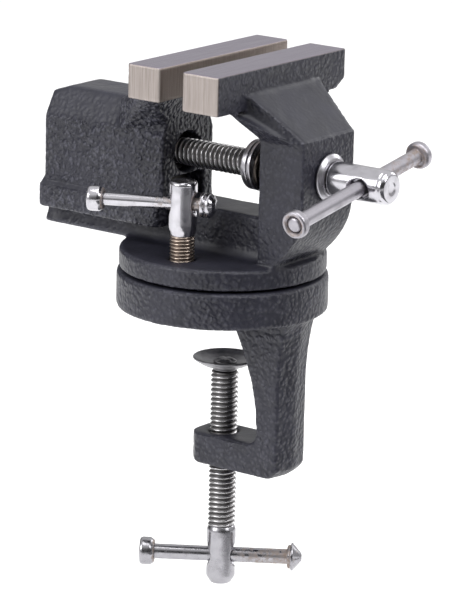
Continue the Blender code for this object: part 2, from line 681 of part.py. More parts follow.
def make_nut():
    """Block nut that rides on the rail inside the moving jaw, and the screw that keeps it."""
    half = BODY_CAVITY_HALF - TOUCH_GAP
    low = RAIL_TOP + TOUCH_GAP
    high = CAVITY_TOP - TOUCH_GAP
    nut = box("spindle_nut", (NUT_FRONT_X - NUT_LENGTH, -half, low), (NUT_FRONT_X, half, high),
              origin=(NUT_MIDDLE_X, 0, SPINDLE_Z), finish=CAST_IRON)
    tip = high - NUT_SCREW_ENGAGEMENT
    top = BODY_TOP - NUT_SCREW_RECESS
    cut(
        nut,
        cylinder("nut_bore", (NUT_FRONT_X - NUT_LENGTH - THROUGH, 0, SPINDLE_Z), X_AXIS,
                 NUT_LENGTH + 2 * THROUGH, SPINDLE_RADIUS + THREAD_GAP),
        cylinder("nut_screw_seat", (NUT_MIDDLE_X, 0, tip - TOUCH_GAP), Z_AXIS,
                 NUT_SCREW_ENGAGEMENT + THROUGH, NUT_SCREW_RADIUS + THREAD_GAP, ROUND_SMALL),
    )
    screw = cylinder("nut_screw", (NUT_MIDDLE_X, 0, tip), Z_AXIS, top - tip, NUT_SCREW_RADIUS, ROUND_SMALL,
                     finish=OILED_STEEL)
    slot_half = SCREW_SLOT_WIDTH / 2
    cut(screw, box("nut_screw_slot", (NUT_MIDDLE_X - slot_half, -2 * NUT_SCREW_RADIUS, top - SCREW_SLOT_DEPTH),
                   (NUT_MIDDLE_X + slot_half, 2 * NUT_SCREW_RADIUS, top + THROUGH)))
    return nut, screw


def bored_ring(name, start, axis, thickness, outer, inner, rounding, finish, origin=None):
    """A washer or collar with its outer edges broken."""
    profile = [
        (inner, thickness),
        (outer - rounding, thickness),
        (outer, thickness - rounding),
        (outer, rounding),
        (outer - rounding, 0.0),
        (inner, 0.0),
    ]
    return turned(name, profile, start, axis, finish=finish, origin=origin, ring=True)


def make_spindle():
    """Main screw with its plain head, the head bored across for the bar."""
    tip = -SPINDLE_BACK_LENGTH
    shoulder = HEAD_START_X - tip
    end = shoulder + SPINDLE_HEAD_LENGTH
    profile = [
        (0.0, end - EDGE_CHAMFER),
        (SPINDLE_HEAD_RADIUS * SPINDLE_DIMPLE_FLOOR, end - EDGE_CHAMFER),
        (SPINDLE_HEAD_RADIUS * SPINDLE_DIMPLE_RIM, end),
        (SPINDLE_HEAD_RADIUS - EDGE_CHAMFER, end),
        (SPINDLE_HEAD_RADIUS, end - EDGE_CHAMFER),
        (SPINDLE_HEAD_RADIUS, shoulder),
        (SPINDLE_RADIUS, shoulder),
        (SPINDLE_RADIUS, EDGE_CHAMFER),
        (SPINDLE_RADIUS - EDGE_CHAMFER, 0.0),
        (0.0, 0.0),
    ]
    spindle = turned("spindle", profile, (tip, 0, SPINDLE_Z), X_AXIS, finish=CHROME)
    along = spindle_bar_axis()
    hole_start = Vector((SPINDLE_HOLE_X, 0, SPINDLE_Z)) - along * (2 * SPINDLE_HEAD_RADIUS)
    pin_hole_start = (stop_pin_x(), 0, SPINDLE_Z - STOP_RING_RADIUS - THROUGH)
    cut(
        spindle,
        cylinder("spindle_cross_hole", hole_start, along, 4 * SPINDLE_HEAD_RADIUS,
                 SPINDLE_ROD_RADIUS + CROSS_HOLE_GAP, ROUND_SMALL),
        cylinder("stop_pin_hole", pin_hole_start, Z_AXIS, 2 * (STOP_RING_RADIUS + THROUGH),
                 STOP_PIN_RADIUS + TOUCH_GAP, ROUND_SMALL),
    )
    return spindle


def spindle_bar_axis():
    """Direction of the main bar through the screw head."""
    return Vector((0.0, math.cos(SPINDLE_BAR_ANGLE), math.sin(SPINDLE_BAR_ANGLE)))


def stop_pin_x():
    """Middle of the stop ring, where its pin goes through the screw."""
    return STOP_RING_X + STOP_RING_THICKNESS / 2


def make_spindle_fittings():
    """Collar under the head, spring, washer, and the pinned ring that keeps them on."""
    bore = SPINDLE_RADIUS + THREAD_GAP
    bored_ring("spindle_collar", (COLLAR_START_X, 0, SPINDLE_Z), X_AXIS, COLLAR_THICKNESS, COLLAR_RADIUS,
               bore, COLLAR_ROUNDING, BRIGHT_STEEL)
    bored_ring("spring_washer", (SPRING_WASHER_X, 0, SPINDLE_Z), X_AXIS, SPRING_WASHER_THICKNESS,
               SPRING_OUTER_RADIUS, bore, COLLAR_ROUNDING / 2, BRIGHT_STEEL)
    ring = bored_ring("stop_ring", (STOP_RING_X, 0, SPINDLE_Z), X_AXIS, STOP_RING_THICKNESS, STOP_RING_RADIUS,
                      bore, COLLAR_ROUNDING / 2, BRIGHT_STEEL)
    hole_low = (stop_pin_x(), 0, SPINDLE_Z - STOP_RING_RADIUS - THROUGH)
    cut(ring, cylinder("stop_ring_hole", hole_low, Z_AXIS, 2 * (STOP_RING_RADIUS + THROUGH),
                       STOP_PIN_RADIUS + TOUCH_GAP / 2, ROUND_SMALL))
    cylinder("stop_pin", (stop_pin_x(), 0, SPINDLE_Z - STOP_PIN_LENGTH / 2), Z_AXIS, STOP_PIN_LENGTH,
             STOP_PIN_RADIUS, ROUND_SMALL, origin=(stop_pin_x(), 0, SPINDLE_Z), finish=OILED_STEEL)
    make_spring()


def make_spring():
    """Compression spring between the washer and the column."""
    first = COLUMN_FRONT_X - TOUCH_GAP - SPRING_WIRE_RADIUS
    last = first - SPRING_LENGTH + 2 * SPRING_WIRE_RADIUS
    radius = SPRING_OUTER_RADIUS - SPRING_WIRE_RADIUS
    count = int(SPRING_TURNS * SPRING_STEPS) + 1
    curve = bpy.data.curves.new("spindle_spring", "CURVE")
    curve.dimensions = "3D"
    curve.bevel_depth = SPRING_WIRE_RADIUS
    curve.bevel_resolution = WIRE_ROUNDNESS
    curve.use_fill_caps = True
    spline = curve.splines.new("POLY")
    spline.points.add(count - 1)
    for index, point in enumerate(spline.points):
        share = index / (count - 1)
        angle = 2 * math.pi * SPRING_TURNS * share
        place = (last + (first - last) * share, radius * math.sin(angle), radius * math.cos(angle))
        point.co = (*place, 1.0)
    spring = bpy.data.objects.new("spindle_spring", curve)
    spring.location = (0.0, 0.0, SPINDLE_Z)
    curve.materials.append(finish_material("spindle_spring", OILED_STEEL))
    PIECES.objects.link(spring)
    return spring


def cross_bar(name, centre, axis, length, rod, knob, knob_length, finish, pointed=False):
    """A sliding bar with one solid knob and one riveted cap, on a joint at its middle."""
    if pointed:
        tip = [(0.0, length)]
        tip += [(knob * wide, length - knob_length * back) for wide, back in POINTED_KNOB]
    else:
        tip = [(0.0, length), (knob - EDGE_CHAMFER, length), (knob, length - EDGE_CHAMFER)]
        tip += [(knob, length - knob_length + EDGE_CHAMFER / 2)]
        tip += [(knob - EDGE_CHAMFER / 2, length - knob_length)]
    rivet = rod * RIVET_END_SHARE
    profile = tip + [(rod, length - knob_length), (rod, EDGE_CHAMFER)]
    profile += [(rivet - EDGE_CHAMFER / 2, CAP_RIM / 2), (0.0, CAP_RIM / 2)]
    start = Vector(centre) - axis * (length / 2)
    turned(name, profile, start, axis, ROUND_SMALL, finish=finish)
    return bored_ring(name + "_cap", start, axis, knob_length, knob, rod + TOUCH_GAP, EDGE_CHAMFER, finish)


def make_bars():
    """The three sliding bars and their caps."""
    spindle_centre = Vector((SPINDLE_HOLE_X, 0, SPINDLE_Z)) - spindle_bar_axis() * SPINDLE_BAR_SHIFT
    cross_bar("spindle_bar", spindle_centre, spindle_bar_axis(), SPINDLE_ROD_LENGTH, SPINDLE_ROD_RADIUS,
              SPINDLE_KNOB_RADIUS, SPINDLE_KNOB_LENGTH, BRIGHT_STEEL)
    lock_axis = Vector((math.cos(LOCK_BAR_ANGLE), math.sin(LOCK_BAR_ANGLE), 0.0))
    lock_centre = Vector((0, -LOCK_OFFSET, LOCK_HOLE_Z)) - lock_axis * LOCK_BAR_SHIFT
    cross_bar("lock_bar", lock_centre, lock_axis, LOCK_ROD_LENGTH, LOCK_ROD_RADIUS, LOCK_KNOB_RADIUS,
              LOCK_KNOB_LENGTH, CHROME)
    clamp_axis = Vector((math.cos(CLAMP_BAR_ANGLE), math.sin(CLAMP_BAR_ANGLE), 0.0))
    cross_bar("clamp_bar", (CLAMP_SCREW_X, 0, CLAMP_HOLE_Z), clamp_axis, CLAMP_ROD_LENGTH, CLAMP_ROD_RADIUS,
              CLAMP_KNOB_RADIUS, CLAMP_KNOB_LENGTH, CHROME, pointed=True)


def make_lock_screw():
    """Screw that locks the swivel, bored across for its bar."""
    top = LOCK_HEAD_Z + LOCK_HEAD_LENGTH - LOCK_TIP_Z
    head = LOCK_HEAD_Z - LOCK_TIP_Z
    profile = [
        (0.0, top),
        (LOCK_HEAD_RADIUS - EDGE_CHAMFER, top),
        (LOCK_HEAD_RADIUS, top - EDGE_CHAMFER),
        (LOCK_HEAD_RADIUS, head + EDGE_CHAMFER),
        (LOCK_RADIUS, head),
        (LOCK_RADIUS, EDGE_CHAMFER),
        (LOCK_RADIUS - EDGE_CHAMFER, 0.0),
        (0.0, 0.0),
    ]
    screw = turned("lock_screw", profile, (0, -LOCK_OFFSET, LOCK_TIP_Z), Z_AXIS, finish=CHROME)
    axis = Vector((math.cos(LOCK_BAR_ANGLE), math.sin(LOCK_BAR_ANGLE), 0.0))
    start = Vector((0, -LOCK_OFFSET, LOCK_HOLE_Z)) - axis * (2 * LOCK_HEAD_RADIUS)
    cut(screw, cylinder("lock_cross_hole", start, axis, 4 * LOCK_HEAD_RADIUS, LOCK_ROD_RADIUS + CROSS_HOLE_GAP,
                        ROUND_SMALL))
    return screw


def make_clamp_screw():
    """Clamp screw with its plain head below and the rivet end that holds the pad above."""
    low = CLAMP_HEAD_TOP_Z - CLAMP_HEAD_LENGTH
    dish_floor = -PAD_DEPTH - PAD_DISH_DEPTH
    rivet_top = dish_floor + TOUCH_GAP + RIVET_HEAD_HEIGHT - low
    shoulder = CLAMP_THREAD_TOP_Z - low
    head_top = CLAMP_HEAD_TOP_Z - low
    profile = [
        (0.0, rivet_top),
        (RIVET_HEAD_RADIUS * RIVET_TOP_SHARE, rivet_top),
        (RIVET_HEAD_RADIUS, rivet_top - RIVET_HEAD_HEIGHT * RIVET_SLOPE_SHARE),
        (RIVET_HEAD_RADIUS, rivet_top - RIVET_HEAD_HEIGHT),
        (RIVET_NECK_RADIUS, rivet_top - RIVET_HEAD_HEIGHT),
        (RIVET_NECK_RADIUS, shoulder),
        (CLAMP_RADIUS - EDGE_CHAMFER, shoulder),
        (CLAMP_RADIUS, shoulder - EDGE_CHAMFER),
        (CLAMP_RADIUS, head_top),
        (CLAMP_HEAD_RADIUS, head_top - EDGE_CHAMFER),
        (CLAMP_HEAD_RADIUS, EDGE_CHAMFER),
        (CLAMP_HEAD_RADIUS - 2 * EDGE_CHAMFER, 0.0),
        (0.0, 0.0),
    ]
    screw = turned("clamp_screw", profile, (CLAMP_SCREW_X, 0, low), Z_AXIS, finish=CHROME)
    axis = Vector((math.cos(CLAMP_BAR_ANGLE), math.sin(CLAMP_BAR_ANGLE), 0.0))
    start = Vector((CLAMP_SCREW_X, 0, CLAMP_HOLE_Z)) - axis * (2 * CLAMP_HEAD_RADIUS)
    cut(screw, cylinder("clamp_cross_hole", start, axis, 4 * CLAMP_HEAD_RADIUS,
                        CLAMP_ROD_RADIUS + CROSS_HOLE_GAP, ROUND_SMALL))
    return screw


def make_clamp_pad():
    """Dished pad that the clamp screw presses against the underside of the table."""
    bore = RIVET_NECK_RADIUS + THREAD_GAP
    floor = PAD_HEIGHT - PAD_DISH_DEPTH
    profile = [
        (bore, floor),
        (PAD_DISH_RADIUS * PAD_FLOOR_SHARE, floor),
        (PAD_DISH_RADIUS, PAD_HEIGHT),
        (PAD_RADIUS - EDGE_CHAMFER / 4, PAD_HEIGHT),
        (PAD_RADIUS, PAD_HEIGHT - EDGE_CHAMFER / 4),
        (PAD_RADIUS, PAD_HEIGHT - PAD_RIM),
        (PAD_BOSS_RADIUS, 0.0),
        (bore, 0.0),
    ]
    return turned("clamp_pad", profile, (CLAMP_SCREW_X, 0, PAD_BOTTOM_Z), Z_AXIS, finish=OILED_STEEL, ring=True)


def make_pivot():
    """Bolt and washer that hold the two discs together from below."""
    shank_length = BOLT_TIP_Z - BOLT_SHOULDER_Z
    bolt = cylinder("pivot_bolt", (0, 0, BOLT_SHOULDER_Z), Z_AXIS, shank_length, BOLT_RADIUS, ROUND_SMALL,
                    origin=(0, 0, 0), finish=OILED_STEEL)
    head = cylinder("bolt_head_shape", (0, 0, BOLT_SHOULDER_Z - BOLT_HEAD_HEIGHT), Z_AXIS,
                    BOLT_HEAD_HEIGHT + TOUCH_GAP / 2, BOLT_HEAD_RADIUS, 6)
    add(bolt, head)
    bored_ring("pivot_washer", (0, 0, BOLT_WASHER_BOTTOM_Z), Z_AXIS, BOLT_WASHER_THICKNESS, BOLT_WASHER_RADIUS,
               BOLT_RADIUS + THREAD_GAP, COLLAR_ROUNDING / 2, BRIGHT_STEEL)
    return bolt


clear_scene()
PIECES = new_collection("swivel_bench_vise")
CUTTERS = new_collection("cutters")
make_clamp_frame()
make_swivel_body()
make_moving_jaw()
make_nut()
make_spindle()
make_spindle_fittings()
make_bars()
make_lock_screw()
make_clamp_screw()
make_clamp_pad()
make_pivot()
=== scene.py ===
"""Looks of a swivel bench vise with a table clamp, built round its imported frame.

Metres, +Z up. The origin is on the swivel axis, at the seat that lies on the table top.
+X runs along the main screw towards its handle and +Y along the jaws.
"""

import json
import math

import bmesh
import bpy
import numpy as np
from bpy.props import FloatProperty, FloatVectorProperty, IntProperty, PointerProperty
from mathutils import Matrix, Vector, noise


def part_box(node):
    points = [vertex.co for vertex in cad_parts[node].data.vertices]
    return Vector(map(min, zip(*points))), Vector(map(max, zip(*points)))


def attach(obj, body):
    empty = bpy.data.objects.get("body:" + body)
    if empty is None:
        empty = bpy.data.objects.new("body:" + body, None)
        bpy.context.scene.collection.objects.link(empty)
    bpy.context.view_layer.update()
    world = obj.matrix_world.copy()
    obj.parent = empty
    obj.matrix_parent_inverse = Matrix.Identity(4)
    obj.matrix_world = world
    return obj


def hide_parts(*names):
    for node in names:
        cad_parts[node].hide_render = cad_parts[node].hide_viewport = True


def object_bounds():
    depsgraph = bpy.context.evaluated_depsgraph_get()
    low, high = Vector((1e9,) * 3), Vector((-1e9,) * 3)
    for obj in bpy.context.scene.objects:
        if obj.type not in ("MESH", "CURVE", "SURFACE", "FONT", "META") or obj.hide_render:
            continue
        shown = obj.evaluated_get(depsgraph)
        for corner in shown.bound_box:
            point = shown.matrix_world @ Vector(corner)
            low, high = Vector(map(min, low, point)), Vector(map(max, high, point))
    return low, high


bl_info = {
    "name": "Swivel Bench Vise",
    "version": (1, 0, 0),
    "blender": (4, 5, 0),
    "location": "View3D > Sidebar > Vise",
    "description": "Builds the castings, screws, bars and stage of a small swivel bench vise",
    "category": "Object",
}

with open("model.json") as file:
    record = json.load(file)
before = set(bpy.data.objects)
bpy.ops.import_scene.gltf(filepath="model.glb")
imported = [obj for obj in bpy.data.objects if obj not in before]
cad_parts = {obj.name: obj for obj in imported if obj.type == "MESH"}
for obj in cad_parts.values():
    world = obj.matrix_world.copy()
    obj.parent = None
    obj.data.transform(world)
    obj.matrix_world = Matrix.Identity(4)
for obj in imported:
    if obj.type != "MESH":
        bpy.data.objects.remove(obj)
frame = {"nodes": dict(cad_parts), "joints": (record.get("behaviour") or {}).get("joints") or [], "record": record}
CAD_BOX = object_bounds()
NODE_BODY = {node: body for body, nodes in frame["record"]["behaviour"]["bodies"].items() for node in nodes}
JOINTS = {joint["name"]: joint for joint in frame["joints"]}
MOUNT_PLACES = {mount["name"]: Vector(mount["pos_m"]) for mount in frame["record"]["mounts"]}

X_AXIS = Vector((1.0, 0.0, 0.0))
Z_AXIS = Vector((0.0, 0.0, 1.0))
TURNED_SIDES = 96           # sides of a turned piece
ARC_STEPS = 5               # straight pieces in a rounded corner of a profile
MERGE = 0.000002            # points closer than this are one
THREAD_ROWS = 12            # rows of points in one turn of a thread
HEAD_EDGE = 0.0004          # rounding of the edges of a bored head
RING_GAP = 0.0003           # between the main thread and the rings on it
OVERLAP = 0.0006            # how far a thread runs into its head


# ---------------------------------------------------------------- settings

def length(name, description, default):
    """A setting measured in metres."""
    return FloatProperty(name=name, description=description, default=default, subtype="DISTANCE",
                         unit="LENGTH", precision=5)


def colour(name, description, default):
    """A setting that is a colour."""
    return FloatVectorProperty(name=name, description=description, default=default, size=3, min=0.0, max=1.0,
                               subtype="COLOR")


def angle(name, description, degrees):
    """A setting that is an angle."""
    return FloatProperty(name=name, description=description, default=math.radians(degrees), subtype="ANGLE",
                         unit="ROTATION")


def passes(name, description, default):
    """A setting that counts smoothing passes."""
    return IntProperty(name=name, description=description, default=default, min=0)


class VISE_PG_castings(bpy.types.PropertyGroup):
    """Sizes and colours of the three castings."""

    grid: length("Grid", "Spacing of the fine mesh on a casting", 0.00064)
    rounding: passes("Rounding", "Smoothing passes on cast edges", 9)
    soft_rounding: passes("Soft rounding", "Smoothing passes where a neck runs into its bar", 45)
    ground_rounding: passes("Ground rounding", "Smoothing passes on ground edges", 2)
    swell: length("Swell", "Height of the slow waves in a cast face", 0.00012)
    swell_size: length("Swell size", "Width of the slow waves in a cast face", 0.0050)
    pebble_size: length("Pebble size", "Width of the pebbles in the hammered enamel", 0.0016)
    pebble_height: length("Pebble height", "Height of the pebbles on the roughest faces", 0.00030)
    fixed_bar_height: length("Fixed bar height", "Height of the ground bar of the fixed jaw", 0.0140)
    moving_bar_height: length("Moving bar height", "Height of the ground bar of the moving jaw", 0.0125)
    fixed_bar_depth: length("Fixed bar depth", "Thickness of the ground bar of the fixed jaw", 0.0156)
    moving_bar_depth: length("Moving bar depth", "Thickness of the ground bar of the moving jaw", 0.0142)
    enamel: colour("Enamel", "Colour of the enamel", (0.0200, 0.0200, 0.0300))
    # This colour serves the real worn edges and also the painted highlights on the pebble tops.
    enamel_worn_and_highlight: colour("Worn enamel and highlights", "Colour of the enamel along its edges and on the pebble tops", (0.098, 0.098, 0.126))
    ground_steel: colour("Ground steel", "Colour of the ground faces of the jaws", (0.44, 0.39, 0.37))
    ground_top: colour("Ground tops", "Colour of the ground tops of the jaws", (0.30, 0.275, 0.325))
    ground_dark: colour("Grinding marks", "Colour of the deeper grinding marks", (0.28, 0.245, 0.225))


class VISE_PG_screws(bpy.types.PropertyGroup):
    """Sizes of the three screws and their fittings."""

    main_radius: length("Main screw radius", "Outer radius of the main thread", 0.0050)
    main_pitch: length("Main pitch", "Travel of the main screw in one turn", 0.0020)
    main_thread_end: length("Main thread end", "Where the main thread stops, inside the column", 0.0270)
    lock_radius: length("Lock screw radius", "Outer radius of the lock screw's thread", 0.0045)
    lock_pitch: length("Lock pitch", "Travel of the lock screw in one turn", 0.00125)
    lock_head_length: length("Lock head length", "Length of the plain head of the lock screw", 0.0200)
    clamp_radius: length("Clamp screw radius", "Outer radius of the clamp thread", 0.0050)
    clamp_pitch: length("Clamp pitch", "Travel of the clamp screw in one turn", 0.0018)
    clamp_head_length: length("Clamp head length", "Length of the plain head of the clamp screw", 0.0220)
    thread_depth: length("Thread depth", "Depth of the threads", 0.00068)
    hole_gap: length("Cross hole gap", "Room round a bar in its cross hole", 0.0007)
    countersink: length("Countersink", "How far the mouth of a cross hole opens out", 0.0010)
    head_grid: length("Head grid", "Spacing of the fine mesh on a bored head", 0.00022)
    spring_wire: length("Spring wire", "Radius of the spring's wire", 0.0011)
    spring_turns: FloatProperty(name="Spring turns", description="Turns of the spring", default=2.25)


class VISE_PG_bars(bpy.types.PropertyGroup):
    """Sizes of the three sliding bars."""

    spindle_rod: length("Main bar radius", "Radius of the main screw's bar", 0.00275)
    lock_rod: length("Lock bar radius", "Radius of the lock screw's bar", 0.00220)
    clamp_rod: length("Clamp bar radius", "Radius of the clamp screw's bar", 0.00275)
    edge: length("Edge", "Rounding of the turned edges", 0.00045)


class VISE_PG_metals(bpy.types.PropertyGroup):
    """Colours of the bare metals."""

    chrome: colour("Chrome", "Colour of the plating", (0.53, 0.52, 0.555))
    dull_steel: colour("Dull steel", "Colour of the main bar", (0.40, 0.385, 0.42))
    # The crest colours are painted highlights and the root colours painted shade on the threads.
    thread_crest_highlight: colour("Thread crest", "Colour of the crests of the threads", (0.50, 0.49, 0.50))
    thread_root_shade: colour("Thread root", "Colour of the roots of the threads", (0.085, 0.080, 0.080))
    warm_crest_highlight: colour("Warm crest", "Colour of the crests of the lock screw's thread", (0.56, 0.47, 0.40))
    warm_root_shade: colour("Warm root", "Colour of the roots of the lock screw's thread", (0.17, 0.13, 0.11))
    oiled_steel: colour("Oiled steel", "Colour of the spring and the hidden screws", (0.050, 0.043, 0.038))
    pad_steel: colour("Pad steel", "Colour of the clamp pad", (0.30, 0.295, 0.31))
    rust: colour("Rust", "Colour of the rust stains", (0.25, 0.185, 0.145))


class VISE_PG_stage(bpy.types.PropertyGroup):
    """Camera and floor."""

    azimuth: angle("Azimuth", "Camera's angle round the vise", 36.71)
    elevation: angle("Elevation", "Camera's angle above the horizon", 14.65)
    roll: angle("Roll", "Camera's turn about its own line of sight", 1.29)
    distance: length("Distance", "From the camera to the middle of the vise", 1.3033)
    lens: FloatProperty(name="Lens", description="Focal length in millimetres", default=218.06)
    shift_right: length("Aim right", "How far the line of sight passes right of the aiming point", 0.00181)
    shift_up: length("Aim up", "How far the line of sight passes above the aiming point", 0.01713)
    reference_depth: length("Aim depth", "Depth of the aiming point below the table seat", 0.01618)
    floor_gap: length("Floor gap", "From the lowest point of the vise down to the floor", 0.060)
    floor_size: length("Floor size", "Width of the floor", 12.0)


# ---------------------------------------------------------------- meshes

def turn_to(axis):
    """Rotation that takes +Z to the given axis."""
    return Z_AXIS.rotation_difference(Vector(axis)).to_matrix().to_4x4()


def place(start, axis):
    """Matrix that puts +Z on an axis from a start point."""
    return Matrix.Translation(Vector(start)) @ turn_to(axis)


def mesh_from(bm, name):
    """Turn a bmesh into a mesh and free it."""
    mesh = bpy.data.meshes.new(name)
    bm.to_mesh(mesh)
    bm.free()
    return mesh


def evaluated_mesh(item):
    """Plain mesh of an object as its modifiers leave it."""
    bpy.context.view_layer.update()
    graph = bpy.context.evaluated_depsgraph_get()
    return bpy.data.meshes.new_from_object(item.evaluated_get(graph), depsgraph=graph)


def new_object(name, data):
    """Object in the scene."""
    item = bpy.data.objects.new(name, data)
    bpy.context.scene.collection.objects.link(item)
    return item


def drop_guides(*items):
    """Remove guide objects and their meshes."""
    for item in items:
        mesh = item.data
        bpy.data.objects.remove(item, do_unlink=True)
        bpy.data.meshes.remove(mesh)


def softened(profile, radius, ring=False):
    """Round the corners of a profile of (radius, distance) points."""
    count = len(profile)
    result = []
    for index, corner in enumerate(profile):
        if not ring and index in (0, count - 1):
            result.append(corner)
            continue
        here = Vector(corner)
        before = Vector(profile[index - 1]) - here
        after = Vector(profile[(index + 1) % count]) - here
        reach = min(radius, before.length * 0.45, after.length * 0.45)
        first = here + before.normalized() * reach
        last = here + after.normalized() * reach
        for step in range(ARC_STEPS + 1):
            share = step / ARC_STEPS
            point = first * (1 - share) ** 2 + here * (2 * share * (1 - share)) + last * share ** 2
            result.append(tuple(point))
    return result


def turned(profile, start, axis, sides=TURNED_SIDES, ring=False):
    """Closed turned mesh from a profile of (radius, distance along the axis)."""
    bm = bmesh.new()
    points = [bm.verts.new((radius, 0.0, along)) for radius, along in profile]
    pairs = list(zip(points, points[1:]))
    if ring:
        pairs.append((points[-1], points[0]))
    edges = [bm.edges.new(pair) for pair in pairs]
    bmesh.ops.spin(bm, geom=points + edges, cent=(0, 0, 0), axis=Z_AXIS, angle=2 * math.pi, steps=sides,
                   use_merge=True)
    bmesh.ops.remove_doubles(bm, verts=bm.verts, dist=MERGE)
    bmesh.ops.recalc_face_normals(bm, faces=bm.faces)
    bm.transform(place(start, axis))
    return mesh_from(bm, "turned")


def bored(mesh, cutter):
    """A mesh with a cutter taken out of it."""
    item = new_object("bored_guide", mesh)
    tool = new_object("cutter_guide", cutter)
    step = item.modifiers.new("Bore", "BOOLEAN")
    step.operation = "DIFFERENCE"
    step.solver = "EXACT"
    step.object = tool
    result = evaluated_mesh(item)
    drop_guides(item, tool)
    return result


def regridded(mesh, spacing):
    """The same closed shape as an even fine grid."""
    item = new_object("grid_guide", mesh)
    step = item.modifiers.new("Grid", "REMESH")
    step.mode = "VOXEL"
    step.voxel_size = spacing
    step.adaptivity = 0.0
    result = evaluated_mesh(item)
    drop_guides(item)
    return result


def read_rows(items, field, width=3, kind=np.float32):
    """Array with one row for each of a mesh's points, normals or edges."""
    flat = np.empty(len(items) * width, kind)
    items.foreach_get(field, flat)
    return flat.reshape(-1, width)


def read_points(mesh):
    """Positions of a mesh's points."""
    return read_rows(mesh.vertices, "co").astype(float)


def read_normals(mesh):
    """Normals at a mesh's points."""
    return read_rows(mesh.vertex_normals, "vector").astype(float)


def read_edges(mesh):
    """Point pairs of a mesh's edges."""
    return read_rows(mesh.edges, "vertices", 2, np.int32)


def write_points(mesh, points):
    """Set the positions of a mesh's points."""
    mesh.vertices.foreach_set("co", points.astype(np.float32).ravel())
    mesh.update()


def neighbour_mean(values, edges):
    """Mean of each point's neighbours, for an array with one row a point."""
    count = np.bincount(edges.ravel(), minlength=len(values)).astype(float)
    total = np.empty_like(values)
    for column in range(values.shape[1]):
        part = np.bincount(edges[:, 0], values[edges[:, 1], column], minlength=len(values))
        total[:, column] = part + np.bincount(edges[:, 1], values[edges[:, 0], column], minlength=len(values))
    return total / count[:, None]


def relax(points, edges, passes):
    """Smooth points towards their neighbours. passes holds how often for each point."""
    for index in range(int(passes.max())):
        share = np.where(passes > index, 0.5, 0.0)[:, None]
        points = points + (neighbour_mean(points, edges) - points) * share
    return points


def store(mesh, name, values):
    """Keep one number a point under a name, for the materials."""
    layer = mesh.attributes.get(name) or mesh.attributes.new(name, "FLOAT", "POINT")
    layer.data.foreach_set("value", np.asarray(values, np.float32))


def smooth_step(values, low, high):
    """0 below low, 1 above high, and a smooth ramp between."""
    share = np.clip((values - low) / (high - low), 0.0, 1.0)
    return share * share * (3 - 2 * share)


def joined(name, parts):
    """One mesh from (mesh, material) pairs, each its own closed body."""
    bm = bmesh.new()
    materials = []
    for mesh, material in parts:
        if material not in materials:
            materials.append(material)
        start = len(bm.faces)
        bm.from_mesh(mesh)
        bm.faces.ensure_lookup_table()
        for face in bm.faces[start:]:
            face.material_index = materials.index(material)
        bpy.data.meshes.remove(mesh)
    mesh = mesh_from(bm, name)
    for material in materials:
        mesh.materials.append(material)
    return mesh


def settle(name, parts, node, sharp=60.0):
    """Make the object that stands for a CAD node and moves with its body, smooth up to an angle."""
    mesh = joined(name, parts)
    mesh.shade_smooth()
    if sharp is not None:
        mesh.set_sharp_from_angle(angle=math.radians(sharp))
    item = new_object(name, mesh)
    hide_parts(node)
    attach(item, NODE_BODY[node])


def span(node, axis):
    """Lowest and highest distance of a CAD node's points along an axis."""
    along = [point.co.dot(axis) for point in frame["nodes"][node].data.vertices]
    return min(along), max(along)


def middle(node):
    """Middle of a CAD node's box."""
    low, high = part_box(node)
    return (low + high) / 2


def joint_axis(name):
    """Direction of a joint."""
    return Vector(JOINTS[name]["axis"]).normalized()


def joint_place(name):
    """Point on a hinge's axis."""
    return Vector(JOINTS[name]["pos_m"])


def level_with(spot, axis, other):
    """A place on an axis, slid along it until it is level with another place."""
    return Vector([there if part else here for here, there, part in zip(spot, other, axis)])


def on_screw(x):
    """Point of the main screw's axis."""
    return Vector((x, 0.0, joint_place("spindle_turn").z))


# ---------------------------------------------------------------- shader helpers

def add_node(tree, kind, inputs=None, **settings):
    """Add a node, with its settings, and its inputs as values or sockets."""
    made = tree.nodes.new(kind)
    for name, value in settings.items():
        setattr(made, name, value)
    for name, value in (inputs or {}).items():
        if isinstance(value, bpy.types.NodeSocket):
            tree.links.new(value, made.inputs[name])
        else:
            made.inputs[name].default_value = value
    return made


def calculate(tree, operation, first, second=0.0, clamp=False):
    """Result of a Math node."""
    made = add_node(tree, "ShaderNodeMath", {0: first, 1: second}, operation=operation, use_clamp=clamp)
    return made.outputs[0]


def ramp(tree, value, low, high, to_low=0.0, to_high=1.0):
    """A value carried from one range to another, held at its ends."""
    inputs = {"Value": value, "From Min": low, "From Max": high, "To Min": to_low, "To Max": to_high}
    return add_node(tree, "ShaderNodeMapRange", inputs, clamp=True).outputs["Result"]


def times(tree, first, second, clamp=False):
    """Product of two numbers."""
    return calculate(tree, "MULTIPLY", first, second, clamp)


def object_place(tree):
    """Object coordinates."""
    return add_node(tree, "ShaderNodeTexCoord").outputs["Object"]


def stored(tree, name):
    """Number that the mesh keeps under a name."""
    return add_node(tree, "ShaderNodeAttribute", attribute_name=name).outputs["Fac"]


def cloud(tree, spot, scale, detail, roughness=0.5):
    """Noise at a place."""
    inputs = {"Vector": spot, "Scale": scale, "Detail": detail, "Roughness": roughness}
    return add_node(tree, "ShaderNodeTexNoise", inputs).outputs["Fac"]


def shaded(base, factor):
    """A colour made darker or lighter."""
    return tuple(min(1.0, factor * part) for part in base)


def blend_colours(tree, share, first, second):
    """Mix of two colours."""
    made = add_node(tree, "ShaderNodeMix", data_type="RGBA")
    for index, value in ((0, share), (6, first), (7, second)):
        if isinstance(value, bpy.types.NodeSocket):
            tree.links.new(value, made.inputs[index])
        elif index:
            made.inputs[index].default_value = (*value, 1.0)
        else:
            made.inputs[index].default_value = value
    return made.outputs[2]


def blend_values(tree, share, first, second):
    """Mix of two numbers."""
    made = add_node(tree, "ShaderNodeMix", {0: share, 2: first, 3: second}, data_type="FLOAT")
    return made.outputs[0]


